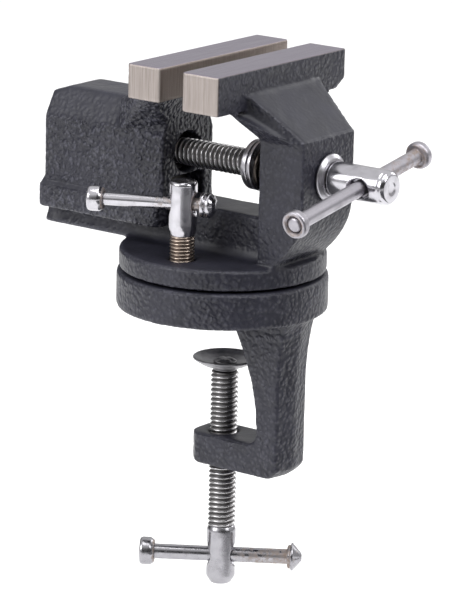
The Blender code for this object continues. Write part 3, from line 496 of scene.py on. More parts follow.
def new_group(name, inputs, output):
    """Empty shader group with named inputs and one number out, and the sockets at its two ends."""
    tree = bpy.data.node_groups.new(name, "ShaderNodeTree")
    for socket, value in inputs.items():
        kind = "NodeSocketVector" if isinstance(value, tuple) else "NodeSocketFloat"
        tree.interface.new_socket(socket, in_out="INPUT", socket_type=kind).default_value = value
    tree.interface.new_socket(output, in_out="OUTPUT", socket_type="NodeSocketFloat")
    return tree, tree.nodes.new("NodeGroupInput").outputs, tree.nodes.new("NodeGroupOutput").inputs[0]


def scaled_place(tree, size):
    """Object coordinates divided by a size."""
    inputs = {0: object_place(tree), "Scale": calculate(tree, "DIVIDE", 1.0, size)}
    return add_node(tree, "ShaderNodeVectorMath", inputs, operation="SCALE").outputs[0]


def hammered_grain():
    """Group: height of pebbles that run into each other."""
    tree, given, result = new_group("hammered_grain", {"Size": 0.0012, "Roundness": 0.7}, "Height")
    spot = scaled_place(tree, given["Size"])
    bend = add_node(tree, "ShaderNodeTexNoise", {"Vector": spot, "Scale": 0.7, "Detail": 1.0}).outputs["Color"]
    bent = add_node(tree, "ShaderNodeVectorMath", {0: bend, 1: spot}, operation="ADD").outputs[0]
    inputs = {"Vector": bent, "Scale": 1.0, "Smoothness": given["Roundness"]}
    cell = add_node(tree, "ShaderNodeTexVoronoi", inputs, feature="SMOOTH_F1").outputs["Distance"]
    round_part = ramp(tree, cell, 0.1, 0.8, 1.0, 0.0)
    tree.links.new(blend_values(tree, 0.45, round_part, cloud(tree, spot, 0.45, 2.0)), result)
    return tree


def edge_wear():
    """Group: mask of rubbed edges, broken up by small spots."""
    tree, given, result = new_group("edge_wear", {"Amount": 0.6, "Spot size": 0.0011}, "Mask")
    spots = ramp(tree, cloud(tree, scaled_place(tree, given["Spot size"]), 1.0, 3.0), 0.42, 0.66)
    mask = times(tree, stored(tree, "rubbed_edge_and_crest_light"), spots)
    tree.links.new(times(tree, mask, given["Amount"], clamp=True), result)
    return tree


def machining_lines():
    """Group: fine lines that run along the axis with the smallest stretch."""
    inputs = {"Stretch": (1.0, 1.0, 1.0), "Contrast": 1.0}
    tree, given, result = new_group("machining_lines", inputs, "Lines")
    inputs = {0: object_place(tree), 1: given["Stretch"]}
    spot = add_node(tree, "ShaderNodeVectorMath", inputs, operation="MULTIPLY").outputs[0]
    centred = calculate(tree, "SUBTRACT", cloud(tree, spot, 1.0, 4.0, 0.65), 0.5)
    lines = calculate(tree, "ADD", times(tree, centred, given["Contrast"]), 0.5, clamp=True)
    tree.links.new(lines, result)
    return tree


def rust_stain():
    """Group: mask of rust that gathers where the stain attribute says."""
    tree, given, result = new_group("rust_stain", {"Spot size": 0.0016, "Spread": 0.1}, "Mask")
    spots = cloud(tree, scaled_place(tree, given["Spot size"]), 1.0, 4.0, 0.6)
    reach = calculate(tree, "ADD", stored(tree, "stain"), given["Spread"])
    mask = ramp(tree, calculate(tree, "ADD", times(tree, reach, 0.55), spots), 0.80, 1.08)
    tree.links.new(mask, result)
    return tree


def use_group(tree, maker, inputs):
    """Place a shader group, which is built the first time that it is used."""
    group = bpy.data.node_groups.get(maker.__name__) or maker()
    made = add_node(tree, "ShaderNodeGroup", node_tree=group)
    for name, value in inputs.items():
        made.inputs[name].default_value = value
    return made.outputs[0]


def material(name, fill, *values):
    """Material by name, filled the first time that it is asked for."""
    made = bpy.data.materials.get(name)
    if made is None:
        made = bpy.data.materials.new(name)
        made.use_nodes = True
        fill(made.node_tree, made.node_tree.nodes["Principled BSDF"], *values)
    return made


def set_shader(tree, shader, values):
    """Set or link inputs of a Principled shader."""
    for name, value in values.items():
        if isinstance(value, bpy.types.NodeSocket):
            tree.links.new(value, shader.inputs[name])
        elif name == "Base Color":
            shader.inputs[name].default_value = (*value, 1.0)
        else:
            shader.inputs[name].default_value = value


def bump(tree, height, distance, strength=1.0):
    """Normal from a height."""
    made = add_node(tree, "ShaderNodeBump", {"Height": height, "Distance": distance, "Strength": strength})
    return made.outputs["Normal"]


# ---------------------------------------------------------------- materials

def hammered_enamel(tree, shader, settings):
    """Hammered enamel over rough iron, bare and ground where the ground attribute says, with painted highlights on
    the pebble tops, painted shade in the hollows and painted shadow on the inner faces of the bars.
    """
    ground, pebble, is_top = (stored(tree, name) for name in ("ground", "pebble", "top_face"))
    grain = use_group(tree, hammered_grain, {"Size": settings.pebble_size, "Roundness": 0.6})
    rubbed_edge_and_crest_light = use_group(tree, edge_wear, {"Amount": 0.75, "Spot size": 0.0010})
    drift = cloud(tree, object_place(tree), 90.0, 3.0)
    base = blend_colours(tree, ramp(tree, drift, 0.35, 0.65), shaded(settings.enamel, 0.82),
                         shaded(settings.enamel, 1.18))
    # Painted highlight: the pebble tops are lightened towards the worn enamel colour.
    peak_highlight = times(tree, ramp(tree, grain, 0.48, 0.74, 0.0, 0.75), pebble)
    highlighted_enamel = blend_colours(tree, peak_highlight, base, settings.enamel_worn_and_highlight)
    # Painted shade: the hollows are darkened towards near black.
    shaded_hollows = blend_colours(tree, times(tree, stored(tree, "painted_hollow_shade"), 0.6), highlighted_enamel, (0.010, 0.010, 0.012))
    painted = blend_colours(tree, rubbed_edge_and_crest_light, shaded_hollows, settings.enamel_worn_and_highlight)
    end_lines = use_group(tree, machining_lines, {"Stretch": (2600.0, 2600.0, 70.0), "Contrast": 2.0})
    top_lines = use_group(tree, machining_lines, {"Stretch": (1900.0, 60.0, 400.0), "Contrast": 1.5})
    lines = blend_values(tree, is_top, end_lines, top_lines)
    top_steel = blend_colours(tree, lines, shaded(settings.ground_top, 0.78), settings.ground_top)
    end_steel = blend_colours(tree, lines, settings.ground_dark, settings.ground_steel)
    steel = blend_colours(tree, is_top, end_steel, top_steel)
    # Painted shadow: the inner faces of the ground bars, which face each other across the gap between the jaws,
    # are darkened to brown.
    bar_inner_shaded = blend_colours(tree, times(tree, stored(tree, "inner_face_shadow"), 0.55), steel, (0.13, 0.095, 0.075))
    height = calculate(tree, "ADD", times(tree, grain, pebble), times(tree, times(tree, lines, ground), 0.04))
    set_shader(tree, shader, {
        "Base Color": blend_colours(tree, ground, painted, bar_inner_shaded),
        "Metallic": times(tree, ground, 0.9),
        "Roughness": blend_values(tree, ground, ramp(tree, drift, 0.3, 0.7, 0.36, 0.48),
                                  ramp(tree, lines, 0.0, 1.0, 0.52, 0.36)),
        "Specular IOR Level": 0.38,
        "Normal": bump(tree, height, 0.0018, 0.95),
    })


def plating(tree, shader, base, rough_low, rough_high, rust, spread=0.0):
    """Bright metal with cloudy plating, fine scratches and rust where the stain attribute says."""
    haze = cloud(tree, object_place(tree), 320.0, 4.0)
    stain = times(tree, use_group(tree, rust_stain, {"Spot size": 0.0017, "Spread": spread}), 0.8)
    clouded = blend_colours(tree, ramp(tree, haze, 0.4, 0.75, 0.0, 0.4), base, shaded(base, 0.6))
    scratch = use_group(tree, machining_lines, {"Stretch": (900.0, 900.0, 900.0), "Contrast": 1.2})
    set_shader(tree, shader, {
        "Base Color": blend_colours(tree, stain, clouded, rust),
        "Metallic": blend_values(tree, stain, 1.0, 0.35),
        "Roughness": blend_values(tree, stain, ramp(tree, haze, 0.35, 0.7, rough_low, rough_high), 0.62),
        "Normal": bump(tree, scratch, 0.00002, 0.5),
    })


def thread_steel(tree, shader, crest_highlight_colour, root_shade_colour, rust):
    """Steel with a painted highlight on the crests of its thread and painted shade in the roots."""
    crest = stored(tree, "rubbed_edge_and_crest_light")
    grime = cloud(tree, object_place(tree), 500.0, 3.0)
    stain = use_group(tree, rust_stain, {"Spot size": 0.0015, "Spread": 0.05})
    # Painted highlight on the crests, painted shade in the roots.
    metal = blend_colours(tree, ramp(tree, crest, 0.1, 0.8), root_shade_colour, crest_highlight_colour)
    dirty = blend_colours(tree, ramp(tree, grime, 0.45, 0.75, 0.0, 0.4), metal, root_shade_colour)
    set_shader(tree, shader, {
        "Base Color": blend_colours(tree, times(tree, stain, 0.7), dirty, rust),
        "Metallic": ramp(tree, crest, 0.0, 1.0, 0.85, 1.0),
        "Roughness": ramp(tree, crest, 0.1, 0.9, 0.45, 0.24),
        "Normal": bump(tree, grime, 0.00003, 0.5),
    })


def bare_iron(tree, shader, base, roughness, metallic):
    """Dark bare metal with a grainy surface."""
    grain = use_group(tree, hammered_grain, {"Size": 0.0007, "Roundness": 0.4})
    haze = cloud(tree, object_place(tree), 260.0, 4.0)
    set_shader(tree, shader, {
        "Base Color": blend_colours(tree, ramp(tree, haze, 0.35, 0.7), shaded(base, 0.65), shaded(base, 1.3)),
        "Metallic": metallic,
        "Roughness": ramp(tree, haze, 0.3, 0.7, roughness - 0.08, roughness + 0.08),
        "Normal": bump(tree, grain, 0.00005, 0.5),
    })


def metal_set(context):
    """The bare metals by name."""
    metals = context.scene.vise_metals
    rust, chrome = tuple(metals.rust), tuple(metals.chrome)
    crest, root = tuple(metals.thread_crest_highlight), tuple(metals.thread_root_shade)
    warm_crest_highlight, warm_root_shade = tuple(metals.warm_crest_highlight), tuple(metals.warm_root_shade)
    return {
        "chrome": material("chrome_plating", plating, chrome, 0.13, 0.27, rust, -0.1),
        # A darker copy of the chrome for the clamp's head and bar: painted shade in their reflections.
        "shadowed chrome": material("shadowed_chrome", plating, shaded(chrome, 0.68), 0.18, 0.32, rust, -0.15),
        "dull": material("dull_plating", plating, tuple(metals.dull_steel), 0.34, 0.48, rust, -0.30),
        "collar": material("collar_steel", plating, shaded(chrome, 0.85), 0.26, 0.38, rust),
        "oiled": material("oiled_spring_steel", plating, tuple(metals.oiled_steel), 0.22, 0.36, rust),
        "thread": material("threaded_steel", thread_steel, crest, root, rust),
        "warm thread": material("warm_threaded_steel", thread_steel, warm_crest_highlight, warm_root_shade, rust),
        "pad": material("pad_steel", bare_iron, tuple(metals.pad_steel), 0.40, 0.9),
        "iron": material("bare_cast_iron", bare_iron, (0.10, 0.095, 0.09), 0.62, 0.8),
    }


# ---------------------------------------------------------------- geometry nodes

def new_shape_tree(name, inputs):
    """Empty geometry tree with named inputs, and its two end nodes."""
    tree = bpy.data.node_groups.new(name, "GeometryNodeTree")
    for socket, kind in inputs:
        tree.interface.new_socket(socket, in_out="INPUT", socket_type=kind)
    tree.interface.new_socket("Geometry", in_out="OUTPUT", socket_type="NodeSocketGeometry")
    return tree, tree.nodes.new("NodeGroupInput"), tree.nodes.new("NodeGroupOutput")


def finish_shape_tree(tree, start, end, geometry):
    """Realize the geometry, give it its material, and put it out."""
    real = add_node(tree, "GeometryNodeRealizeInstances", {"Geometry": geometry}).outputs["Geometry"]
    dressed = add_node(tree, "GeometryNodeSetMaterial", {"Geometry": real, "Material": start.outputs["Material"]})
    tree.links.new(dressed.outputs["Geometry"], end.inputs["Geometry"])
    return tree


def thread_tree():
    """Geometry tree of a right-hand thread, standing on +Z about its middle."""
    tree, start, end = new_shape_tree("screw_thread", [
        ("Radius", "NodeSocketFloat"), ("Depth", "NodeSocketFloat"), ("Pitch", "NodeSocketFloat"),
        ("Length", "NodeSocketFloat"), ("Rows", "NodeSocketInt"), ("Material", "NodeSocketMaterial"),
    ])
    radius, depth, pitch, size = (start.outputs[name] for name in ("Radius", "Depth", "Pitch", "Length"))
    blank = add_node(tree, "GeometryNodeMeshCylinder", {
        "Vertices": 56, "Side Segments": start.outputs["Rows"], "Radius": radius, "Depth": size})
    spot = add_node(tree, "GeometryNodeInputPosition").outputs[0]
    parts = add_node(tree, "ShaderNodeSeparateXYZ", {0: spot})
    turn = calculate(tree, "DIVIDE", calculate(tree, "ARCTAN2", parts.outputs["Y"], parts.outputs["X"]),
                     2 * math.pi)
    rise = calculate(tree, "DIVIDE", parts.outputs["Z"], pitch)
    phase = calculate(tree, "FRACT", calculate(tree, "SUBTRACT", rise, turn))
    tooth = times(tree, calculate(tree, "ABSOLUTE", calculate(tree, "SUBTRACT", phase, 0.5)), 2.0)
    shaped = calculate(tree, "SUBTRACT", times(tree, tooth, 1.35), 0.18, clamp=True)
    worn = calculate(tree, "SUBTRACT", radius, times(tree, shaped, depth))
    to_end = calculate(tree, "SUBTRACT", times(tree, size, 0.5),
                       calculate(tree, "ABSOLUTE", parts.outputs["Z"]))
    bevel = calculate(tree, "MINIMUM", calculate(tree, "SUBTRACT", to_end, depth), 0.0)
    reach = calculate(tree, "MINIMUM", worn, calculate(tree, "ADD", radius, bevel))
    share = calculate(tree, "DIVIDE", reach, radius)
    moved = add_node(tree, "ShaderNodeCombineXYZ", {
        "X": times(tree, parts.outputs["X"], share),
        "Y": times(tree, parts.outputs["Y"], share),
        "Z": parts.outputs["Z"]})
    shaped_mesh = add_node(tree, "GeometryNodeSetPosition", {
        "Geometry": blank.outputs["Mesh"], "Position": moved.outputs[0]})
    return finish_shape_tree(tree, start, end, shaped_mesh.outputs["Geometry"])


def coil_tree():
    """Geometry tree of a wire coil, standing on +Z from its start."""
    tree, start, end = new_shape_tree("wire_coil", [
        ("Radius", "NodeSocketFloat"), ("Wire", "NodeSocketFloat"), ("Length", "NodeSocketFloat"),
        ("Turns", "NodeSocketFloat"), ("Material", "NodeSocketMaterial"),
    ])
    line = add_node(tree, "GeometryNodeCurveSpiral", {
        "Resolution": 40, "Rotations": start.outputs["Turns"], "Start Radius": start.outputs["Radius"],
        "End Radius": start.outputs["Radius"], "Height": start.outputs["Length"]})
    ring = add_node(tree, "GeometryNodeCurvePrimitiveCircle", {"Resolution": 16, "Radius": start.outputs["Wire"]})
    tube = add_node(tree, "GeometryNodeCurveToMesh", {
        "Curve": line.outputs["Curve"], "Profile Curve": ring.outputs["Curve"], "Fill Caps": True})
    return finish_shape_tree(tree, start, end, tube.outputs["Mesh"])


def grown(maker, values):
    """Plain mesh that a geometry tree makes from its inputs."""
    tree = bpy.data.node_groups.get(maker.__name__) or maker()
    tree.name = maker.__name__
    item = new_object("tree_guide", bpy.data.meshes.new("tree_guide"))
    step = item.modifiers.new("Shape", "NODES")
    step.node_group = tree
    for socket in tree.interface.items_tree:
        if socket.in_out == "INPUT":
            step[socket.identifier] = values[socket.name]
    mesh = evaluated_mesh(item)
    drop_guides(item)
    return mesh


def thread_mesh(settings, kind, start, axis, size, metal):
    """Threaded rod from a start point along an axis, its crests marked: they take a painted highlight and the
    roots painted shade.
    """
    radius, pitch = getattr(settings, kind + "_radius"), getattr(settings, kind + "_pitch")
    depth = settings.thread_depth
    mesh = grown(thread_tree, {"Radius": radius, "Depth": depth, "Pitch": pitch, "Length": size,
                               "Rows": math.ceil(size / pitch * THREAD_ROWS), "Material": metal})
    points = read_points(mesh)
    # Crest mask: the crests get a painted highlight, the roots painted shade.
    store(mesh, "rubbed_edge_and_crest_light", smooth_step(np.hypot(points[:, 0], points[:, 1]), radius - depth, radius))
    mesh.transform(place(Vector(start) + Vector(axis) * (size / 2), axis))
    return mesh


# ---------------------------------------------------------------- castings

ROUGHNESS = {"clamp_frame": 0.50, "swivel_body": 0.34, "moving_jaw": 1.0}   # of the cast faces
# The zone in which a neck is smoothed into the back of its bar:
SOFT_INSIDE = 0.0006        # how far it reaches into the bar
SOFT_BEHIND = 0.6           # how far it reaches behind the bar, in bar thicknesses
SOFT_WIDTH = 1.08           # its half width, in bar thicknesses
SOFT_DROP = 0.0035          # from the top of the jaw down to it


def fine_casting(node, settings):
    """Even fine mesh of a cast CAD node."""
    bm = bmesh.new()
    bm.from_mesh(frame["nodes"][node].data)
    bmesh.ops.remove_doubles(bm, verts=bm.verts, dist=MERGE)
    return regridded(mesh_from(bm, node + "_fine"), settings.grid)


def bar_mask(points, normals, low, high, inner_sign, reach):
    """How far each point belongs to the ground faces of a jaw bar."""
    inside = (points[:, 0] > low[0] - reach) & (points[:, 0] < high[0] + reach)
    inside &= points[:, 2] > low[2] - reach
    back = high[0] if inner_sign < 0 else low[0]
    neck = (points[:, 0] - back) * inner_sign < 0.5 * reach
    neck &= (points[:, 2] < high[2] - 0.003) & (np.abs(points[:, 1]) < 0.8 * high[1])
    inside &= ~neck
    faces = np.maximum(normals[:, 2], np.abs(normals[:, 1]))
    faces = np.maximum(faces, normals[:, 0] * inner_sign)
    return np.where(inside, smooth_step(faces, 0.55, 0.75), 0.0)


def random_heights(points, size):
    """Smooth random height at each point, about -1 to 1."""
    return np.array([noise.noise(Vector(point) / size) for point in points])


def zone(points, low, high, blur):
    """1 inside a box, 0 outside it, and a smooth ramp of the given width between."""
    inside = np.ones(len(points))
    for axis in range(3):
        inside *= smooth_step(points[:, axis], low[axis] - blur, low[axis])
        inside *= 1.0 - smooth_step(points[:, axis], high[axis], high[axis] + blur)
    return inside


def pebble_share(points, normals, ground, rough):
    """How rough the cast face is at each point: sides more than tops."""
    upward = smooth_step(normals[:, 2], 0.15, 0.55)
    patches = 0.5 + 0.5 * np.clip(2.2 * random_heights(points, 0.011), -1.0, 1.0)
    return rough * (1.0 - 0.88 * upward) * (0.7 + 0.3 * patches) * (1.0 - ground)


def curvature(points, normals, edges, grid):
    """How far each point stands out of its surroundings."""
    curve = ((points - neighbour_mean(points, edges)) * normals).sum(axis=1) / grid
    for _ in range(2):
        curve = neighbour_mean(curve[:, None], edges)[:, 0]
    return curve


def build_casting(node, settings, bar=None, inner_sign=1.0, soft=None):
    """Casting with rounded edges and pebbled faces, and its ground bar left crisp."""
    mesh = fine_casting(node, settings)
    edges = read_edges(mesh)
    points = read_points(mesh)
    passes = np.full(len(points), settings.rounding)
    if bar is not None:
        low, high = bar
        near = (points[:, 0] > low.x - settings.grid) & (points[:, 0] < high.x + settings.grid)
        near &= points[:, 2] > low.z - settings.grid
        passes[near] = settings.ground_rounding
        blended = np.round(zone(points, *soft, 2 * settings.grid) * settings.soft_rounding).astype(int)
        passes = np.maximum(passes, blended)
    points = relax(points, edges, passes)
    write_points(mesh, points)
    normals = read_normals(mesh)
    ground = np.zeros(len(points))
    if bar is not None:
        ground = bar_mask(points, normals, low, high, inner_sign, settings.grid)
    curve = curvature(points, normals, edges, settings.grid)
    pebbles = pebble_share(points, normals, ground, ROUGHNESS[node])
    marks = {
        "rubbed_edge_and_crest_light": smooth_step(curve, 0.03, 0.10) * (1.0 - ground),
        # Mask of the hollows, which take painted shade.
        "painted_hollow_shade": smooth_step(-curve, 0.02, 0.09),
        "ground": ground,
        "top_face": smooth_step(normals[:, 2], 0.55, 0.65),
        # Inner faces of the bars, which take a painted shadow.
        "inner_face_shadow": smooth_step(np.abs(normals[:, 0]), 0.65, 0.75),
        "pebble": pebbles,
    }
    for mark, values in marks.items():
        store(mesh, mark, values)
    waves = random_heights(points, settings.swell_size) * settings.swell * (1.0 - ground)
    bumps = random_heights(points, settings.pebble_size) * settings.pebble_height * pebbles
    height = np.minimum(waves + bumps, 0.0)
    write_points(mesh, points + normals * height[:, None])
    enamel = material("enamelled_casting", hammered_enamel, settings)
    settle(node + "_casting", [(mesh, enamel)], node, sharp=None)


class VISE_OT_castings(bpy.types.Operator):
    """Build the clamp frame, the swivel body and the moving jaw"""

    bl_idname = "vise.castings"
    bl_label = "Castings"

    def execute(self, context):
        settings = context.scene.vise_castings
        jaws = (
            # node, mount on its jaw face, side it faces, thickness and height of its bar, soft floor
            ("swivel_body", "fixed_jaw_face", -1.0, settings.fixed_bar_depth, settings.fixed_bar_height, 0.25),
            ("moving_jaw", "moving_jaw_face", 1.0, settings.moving_bar_depth, settings.moving_bar_height, -1.0),
        )
        for plan in jaws:
            self.build_jaw(settings, *plan)
        build_casting("clamp_frame", settings)
        return {"FINISHED"}

    def build_jaw(self, settings, node, mount, inner_sign, depth, height, floor_share):
        """Casting with a ground bar whose inner face looks along X, towards inner_sign."""
        low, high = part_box(node)
        face = MOUNT_PLACES[mount].x
        back = face - inner_sign * depth
        first, last = sorted((face, back))
        bar = Vector((first, low.y, high.z - height)), Vector((last, high.y, high.z))
        first, last = sorted((back + inner_sign * SOFT_INSIDE, back - inner_sign * SOFT_BEHIND * depth))
        half = SOFT_WIDTH * depth
        soft = (Vector((first, -half, high.z - (1.0 - floor_share) * height)),
                Vector((last, half, high.z - SOFT_DROP)))
        build_casting(node, settings, bar, inner_sign, soft)


# ---------------------------------------------------------------- screws

def bored_head(profile, start, axis, bar, rod, settings):
    """Turned head with a cross hole for its bar, whose mouths open out."""
    half = max(radius for radius, _ in profile)
    flare = settings.countersink
    bore = rod + settings.hole_gap
    mouth = [(0.0, half + flare), (bore + 2.2 * flare, half + flare),
             (bore + 0.25 * flare, half - 1.3 * flare), (bore, half - 2.6 * flare)]
    hole = mouth + [(radius, -along) for radius, along in reversed(mouth)]
    spot = level_with(start, axis, middle(bar))
    blank = turned(softened(profile, HEAD_EDGE), start, axis, 160)
    cutter = turned(hole, spot, joint_axis(bar + "_slide"))
    mesh = regridded(bored(blank, cutter), settings.head_grid)
    points = read_points(mesh)
    write_points(mesh, relax(points, read_edges(mesh), np.full(len(points), 5)))
    stain_near(mesh, spot, bore * 1.25, bore * 0.6, 0.5)
    return mesh


def stain_near(mesh, spot, inner, reach, strength=1.0):
    """Mark a mesh with rust stain within a distance of a point, fading out over a reach."""
    points = read_points(mesh)
    far = np.linalg.norm(points - np.array(spot), axis=1)
    marked = (1.0 - smooth_step(far, inner, inner + reach)) * strength
    layer = mesh.attributes.get("stain")
    if layer is not None:
        before = np.empty(len(points), np.float32)
        layer.data.foreach_get("value", before)
        marked = np.maximum(marked, before)
    store(mesh, "stain", marked)


def build_screw_ring(name, node, rounding, stain, settings, metal, domed=False):
    """Ring on the main screw, flat or with its outer edge sloped back."""
    low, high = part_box(node)
    outer, size = (high.y - low.y) / 2, high.x - low.x
    bore = settings.main_radius + RING_GAP
    rim = [(outer * 0.80, size), (outer, size * 0.45)] if domed else [(outer, size)]
    profile = softened([(bore, size), *rim, (outer, 0.0), (bore, 0.0)], rounding, ring=True)
    mesh = turned(profile, on_screw(low.x), X_AXIS, ring=True)
    reach, fade, strength = stain
    stain_near(mesh, middle(node), bore * reach, fade, strength)
    settle(name, [(mesh, metal)], node)


class VISE_OT_main_screw(bpy.types.Operator):
    """Build the main screw and the collar under its head"""

    bl_idname = "vise.main_screw"
    bl_label = "Main screw"

    def execute(self, context):
        settings = context.scene.vise_screws
        metals = metal_set(context)
        low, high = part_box("spindle")
        collar_low, collar_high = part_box("spindle_collar")
        head_x = collar_high.x + (collar_low.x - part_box("swivel_body")[1].x)
        radius = (high.y - low.y) / 2
        size = high.x - head_x
        profile = [
            (0.0, size - 0.0004), (radius * 0.26, size - 0.0004), (radius * 0.42, size),
            (radius * 0.80, size), (radius * 0.95, size - 0.0011), (radius * 0.95, size - 0.0022),
            (radius, size - 0.0027), (radius, 0.0004), (radius * 0.96, 0.0), (0.0, 0.0),
        ]
        head = bored_head(profile, on_screw(head_x), X_AXIS, "spindle_bar", context.scene.vise_bars.spindle_rod,
                          settings)
        end, neck = settings.main_thread_end, settings.main_radius
        thread = thread_mesh(settings, "main", on_screw(low.x), X_AXIS, end - low.x, metals["thread"])
        shank_size = head_x - end + 0.0008
        profile = [(0.0, shank_size), (neck, shank_size), (neck, 0.0004), (neck - 0.0004, 0.0), (0.0, 0.0)]
        shank = turned(softened(profile, 0.0002), on_screw(end - 0.0004), X_AXIS)
        parts = [(head, metals["chrome"]), (thread, metals["thread"]), (shank, metals["thread"])]
        settle("main_screw", parts, "spindle", 70.0)
        build_screw_ring("collar", "spindle_collar", 0.0007, (1.1, 0.0012, 0.6), settings, metals["collar"],
                         domed=True)
        return {"FINISHED"}


class VISE_OT_spring(bpy.types.Operator):
    """Build the spring of the main screw with its washer, ring and pin"""

    bl_idname = "vise.spring"
    bl_label = "Spring and rings"

    def execute(self, context):
        settings = context.scene.vise_screws
        metals = metal_set(context)
        low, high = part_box("spindle_spring")
        wire = settings.spring_wire
        mesh = grown(coil_tree, {"Radius": (high.y - low.y) / 2 - wire, "Wire": wire,
                                 "Length": high.x - low.x - 2 * wire, "Turns": settings.spring_turns,
                                 "Material": metals["oiled"]})
        mesh.transform(place(on_screw(low.x + wire), X_AXIS))
        store(mesh, "stain", np.full(len(mesh.vertices), 0.25))
        settle("spring", [(mesh, metals["oiled"])], "spindle_spring")
        for name, node in (("spring_washer_ring", "spring_washer"), ("stop_collar", "stop_ring")):
            build_screw_ring(name, node, 0.00045, (1.2, 0.002, 0.7), settings, metals["collar"])
        low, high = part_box("stop_pin")
        radius, tall = (high.x - low.x) / 2, high.z - low.z
        profile = softened([(0.0, tall), (radius, tall), (radius, 0.0), (0.0, 0.0)], radius * 0.5)
        pin = turned(profile, (middle("stop_pin").x, 0.0, low.z), Z_AXIS, 32)
        settle("cross_pin", [(pin, metals["oiled"])], "stop_pin")
        return {"FINISHED"}


class VISE_OT_lock_screw(bpy.types.Operator):
    """Build the screw that locks the swivel"""

    bl_idname = "vise.lock_screw"
    bl_label = "Lock screw"

    def execute(self, context):
        settings = context.scene.vise_screws
        metals = metal_set(context)
        low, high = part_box("lock_screw")
        centre = middle("lock_screw")
        radius = (high.x - low.x) / 2
        size = settings.lock_head_length
        neck = settings.lock_radius - settings.thread_depth * 0.4
        profile = [
            (0.0, size - 0.0004), (radius * 0.70, size - 0.0004), (radius * 0.84, size),
            (radius, size - 0.0009), (radius, 0.0042), (radius * 0.96, 0.0026), (neck, 0.0), (0.0, 0.0),
        ]
        start = Vector((centre.x, centre.y, high.z - size))
        head = bored_head(profile, start, Z_AXIS, "lock_bar", context.scene.vise_bars.lock_rod, settings)
        stain_near(head, start, radius * 0.6, radius * 0.8, 0.35)
        tip = Vector((centre.x, centre.y, low.z))
        thread = thread_mesh(settings, "lock", tip, Z_AXIS, start.z - low.z + OVERLAP, metals["warm thread"])
        parts = [(head, metals["chrome"]), (thread, metals["warm thread"])]
        settle("lock_screw_turned", parts, "lock_screw", 70.0)
        return {"FINISHED"}


class VISE_OT_clamp_screw(bpy.types.Operator):
    """Build the clamp screw with its peened end, and its pad"""

    bl_idname = "vise.clamp_screw"
    bl_label = "Clamp screw and pad"

    def execute(self, context):
        settings = context.scene.vise_screws
        metals = metal_set(context)
        low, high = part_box("clamp_screw")
        pad_low, pad_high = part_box("clamp_pad")
        centre = middle("clamp_screw")
        radius = (high.x - low.x) / 2
        size = settings.clamp_head_length
        profile = [
            (0.0, size), (settings.clamp_radius * 0.90, size), (radius, size - 0.0016), (radius, 0.0026),
            (radius * 0.74, 0.0004), (radius * 0.66, 0.0), (0.0, 0.0),
        ]
        start = Vector((centre.x, centre.y, low.z))
        head = bored_head(profile, start, Z_AXIS, "clamp_bar", context.scene.vise_bars.clamp_rod, settings)
        top = pad_low.z - 0.0003
        tip = Vector((centre.x, centre.y, low.z + size - OVERLAP))
        thread = thread_mesh(settings, "clamp", tip, Z_AXIS, top - tip.z, metals["thread"])
        rivet = self.peened_end(centre, top, high.z)
        parts = [(head, metals["shadowed chrome"]), (thread, metals["thread"]), (rivet, metals["pad"])]
        settle("clamp_screw_turned", parts, "clamp_screw", 70.0)
        self.build_pad(centre, pad_low, pad_high, metals["pad"])
        return {"FINISHED"}

    def peened_end(self, centre, low, high):
        """Neck and hammered rivet end that hold the pad."""
        neck, head, tall = 0.0027, 0.0042, high - low
        profile = [(0.0, tall), (head * 0.62, tall), (head, tall - 0.0009), (head, tall - 0.0012),
                   (neck, tall - 0.0012), (neck, -0.0004), (0.0, -0.0004)]
        mesh = turned(softened(profile, 0.0003), (centre.x, centre.y, low), Z_AXIS, 72)
        points = read_points(mesh)
        top = smooth_step(points[:, 2], high - 0.0008, high)
        around = np.arctan2(points[:, 1] - centre.y, points[:, 0] - centre.x)
        out = np.hypot(points[:, 0] - centre.x, points[:, 1] - centre.y)
        dents = (0.5 + 0.5 * np.cos(6 * around)) * smooth_step(out, head * 0.25, head * 0.7)
        points[:, 2] -= top * dents * 0.0005
        write_points(mesh, points)
        return mesh

    def build_pad(self, centre, low, high, metal):
        """Dished pad with a thin rim."""
        outer = (high.x - low.x) / 2
        tall = high.z - low.z
        bore, boss = 0.0030, 0.0044
        floor = tall - 0.0022
        profile = [(bore, floor - 0.0003), (outer * 0.40, floor), (outer * 0.72, floor + 0.0009),
                   (outer - 0.0007, tall), (outer, tall - 0.0002), (outer, tall - 0.0007),
                   (outer * 0.74, tall * 0.46), (boss, 0.0006), (boss * 0.94, 0.0), (bore, 0.0)]
        mesh = turned(softened(profile, 0.0006, ring=True), (centre.x, centre.y, low.z), Z_AXIS, 128, ring=True)
        settle("pad_dish", [(mesh, metal)], "clamp_pad", 50.0)


# ---------------------------------------------------------------- bars

KNOBS = {
    # far end of a bar: shares of the knob's radius, and of its length from the outer end
    "round": ((0.0, 0.0), (0.84, 0.0), (1.0, 0.22), (1.0, 0.76), (0.86, 1.0)),
    "ball": ((0.0, 0.0), (0.42, 0.0), (0.80, 0.16), (1.0, 0.40), (0.97, 0.58), (0.86, 0.66), (0.98, 0.74),
             (0.98, 0.94), (0.88, 1.0)),
    "point": ((0.0, 0.0), (0.24, 0.0), (0.90, 0.55), (1.0, 0.62), (1.0, 0.74), (0.84, 0.78), (0.86, 0.90),
              (0.76, 1.0)),
}


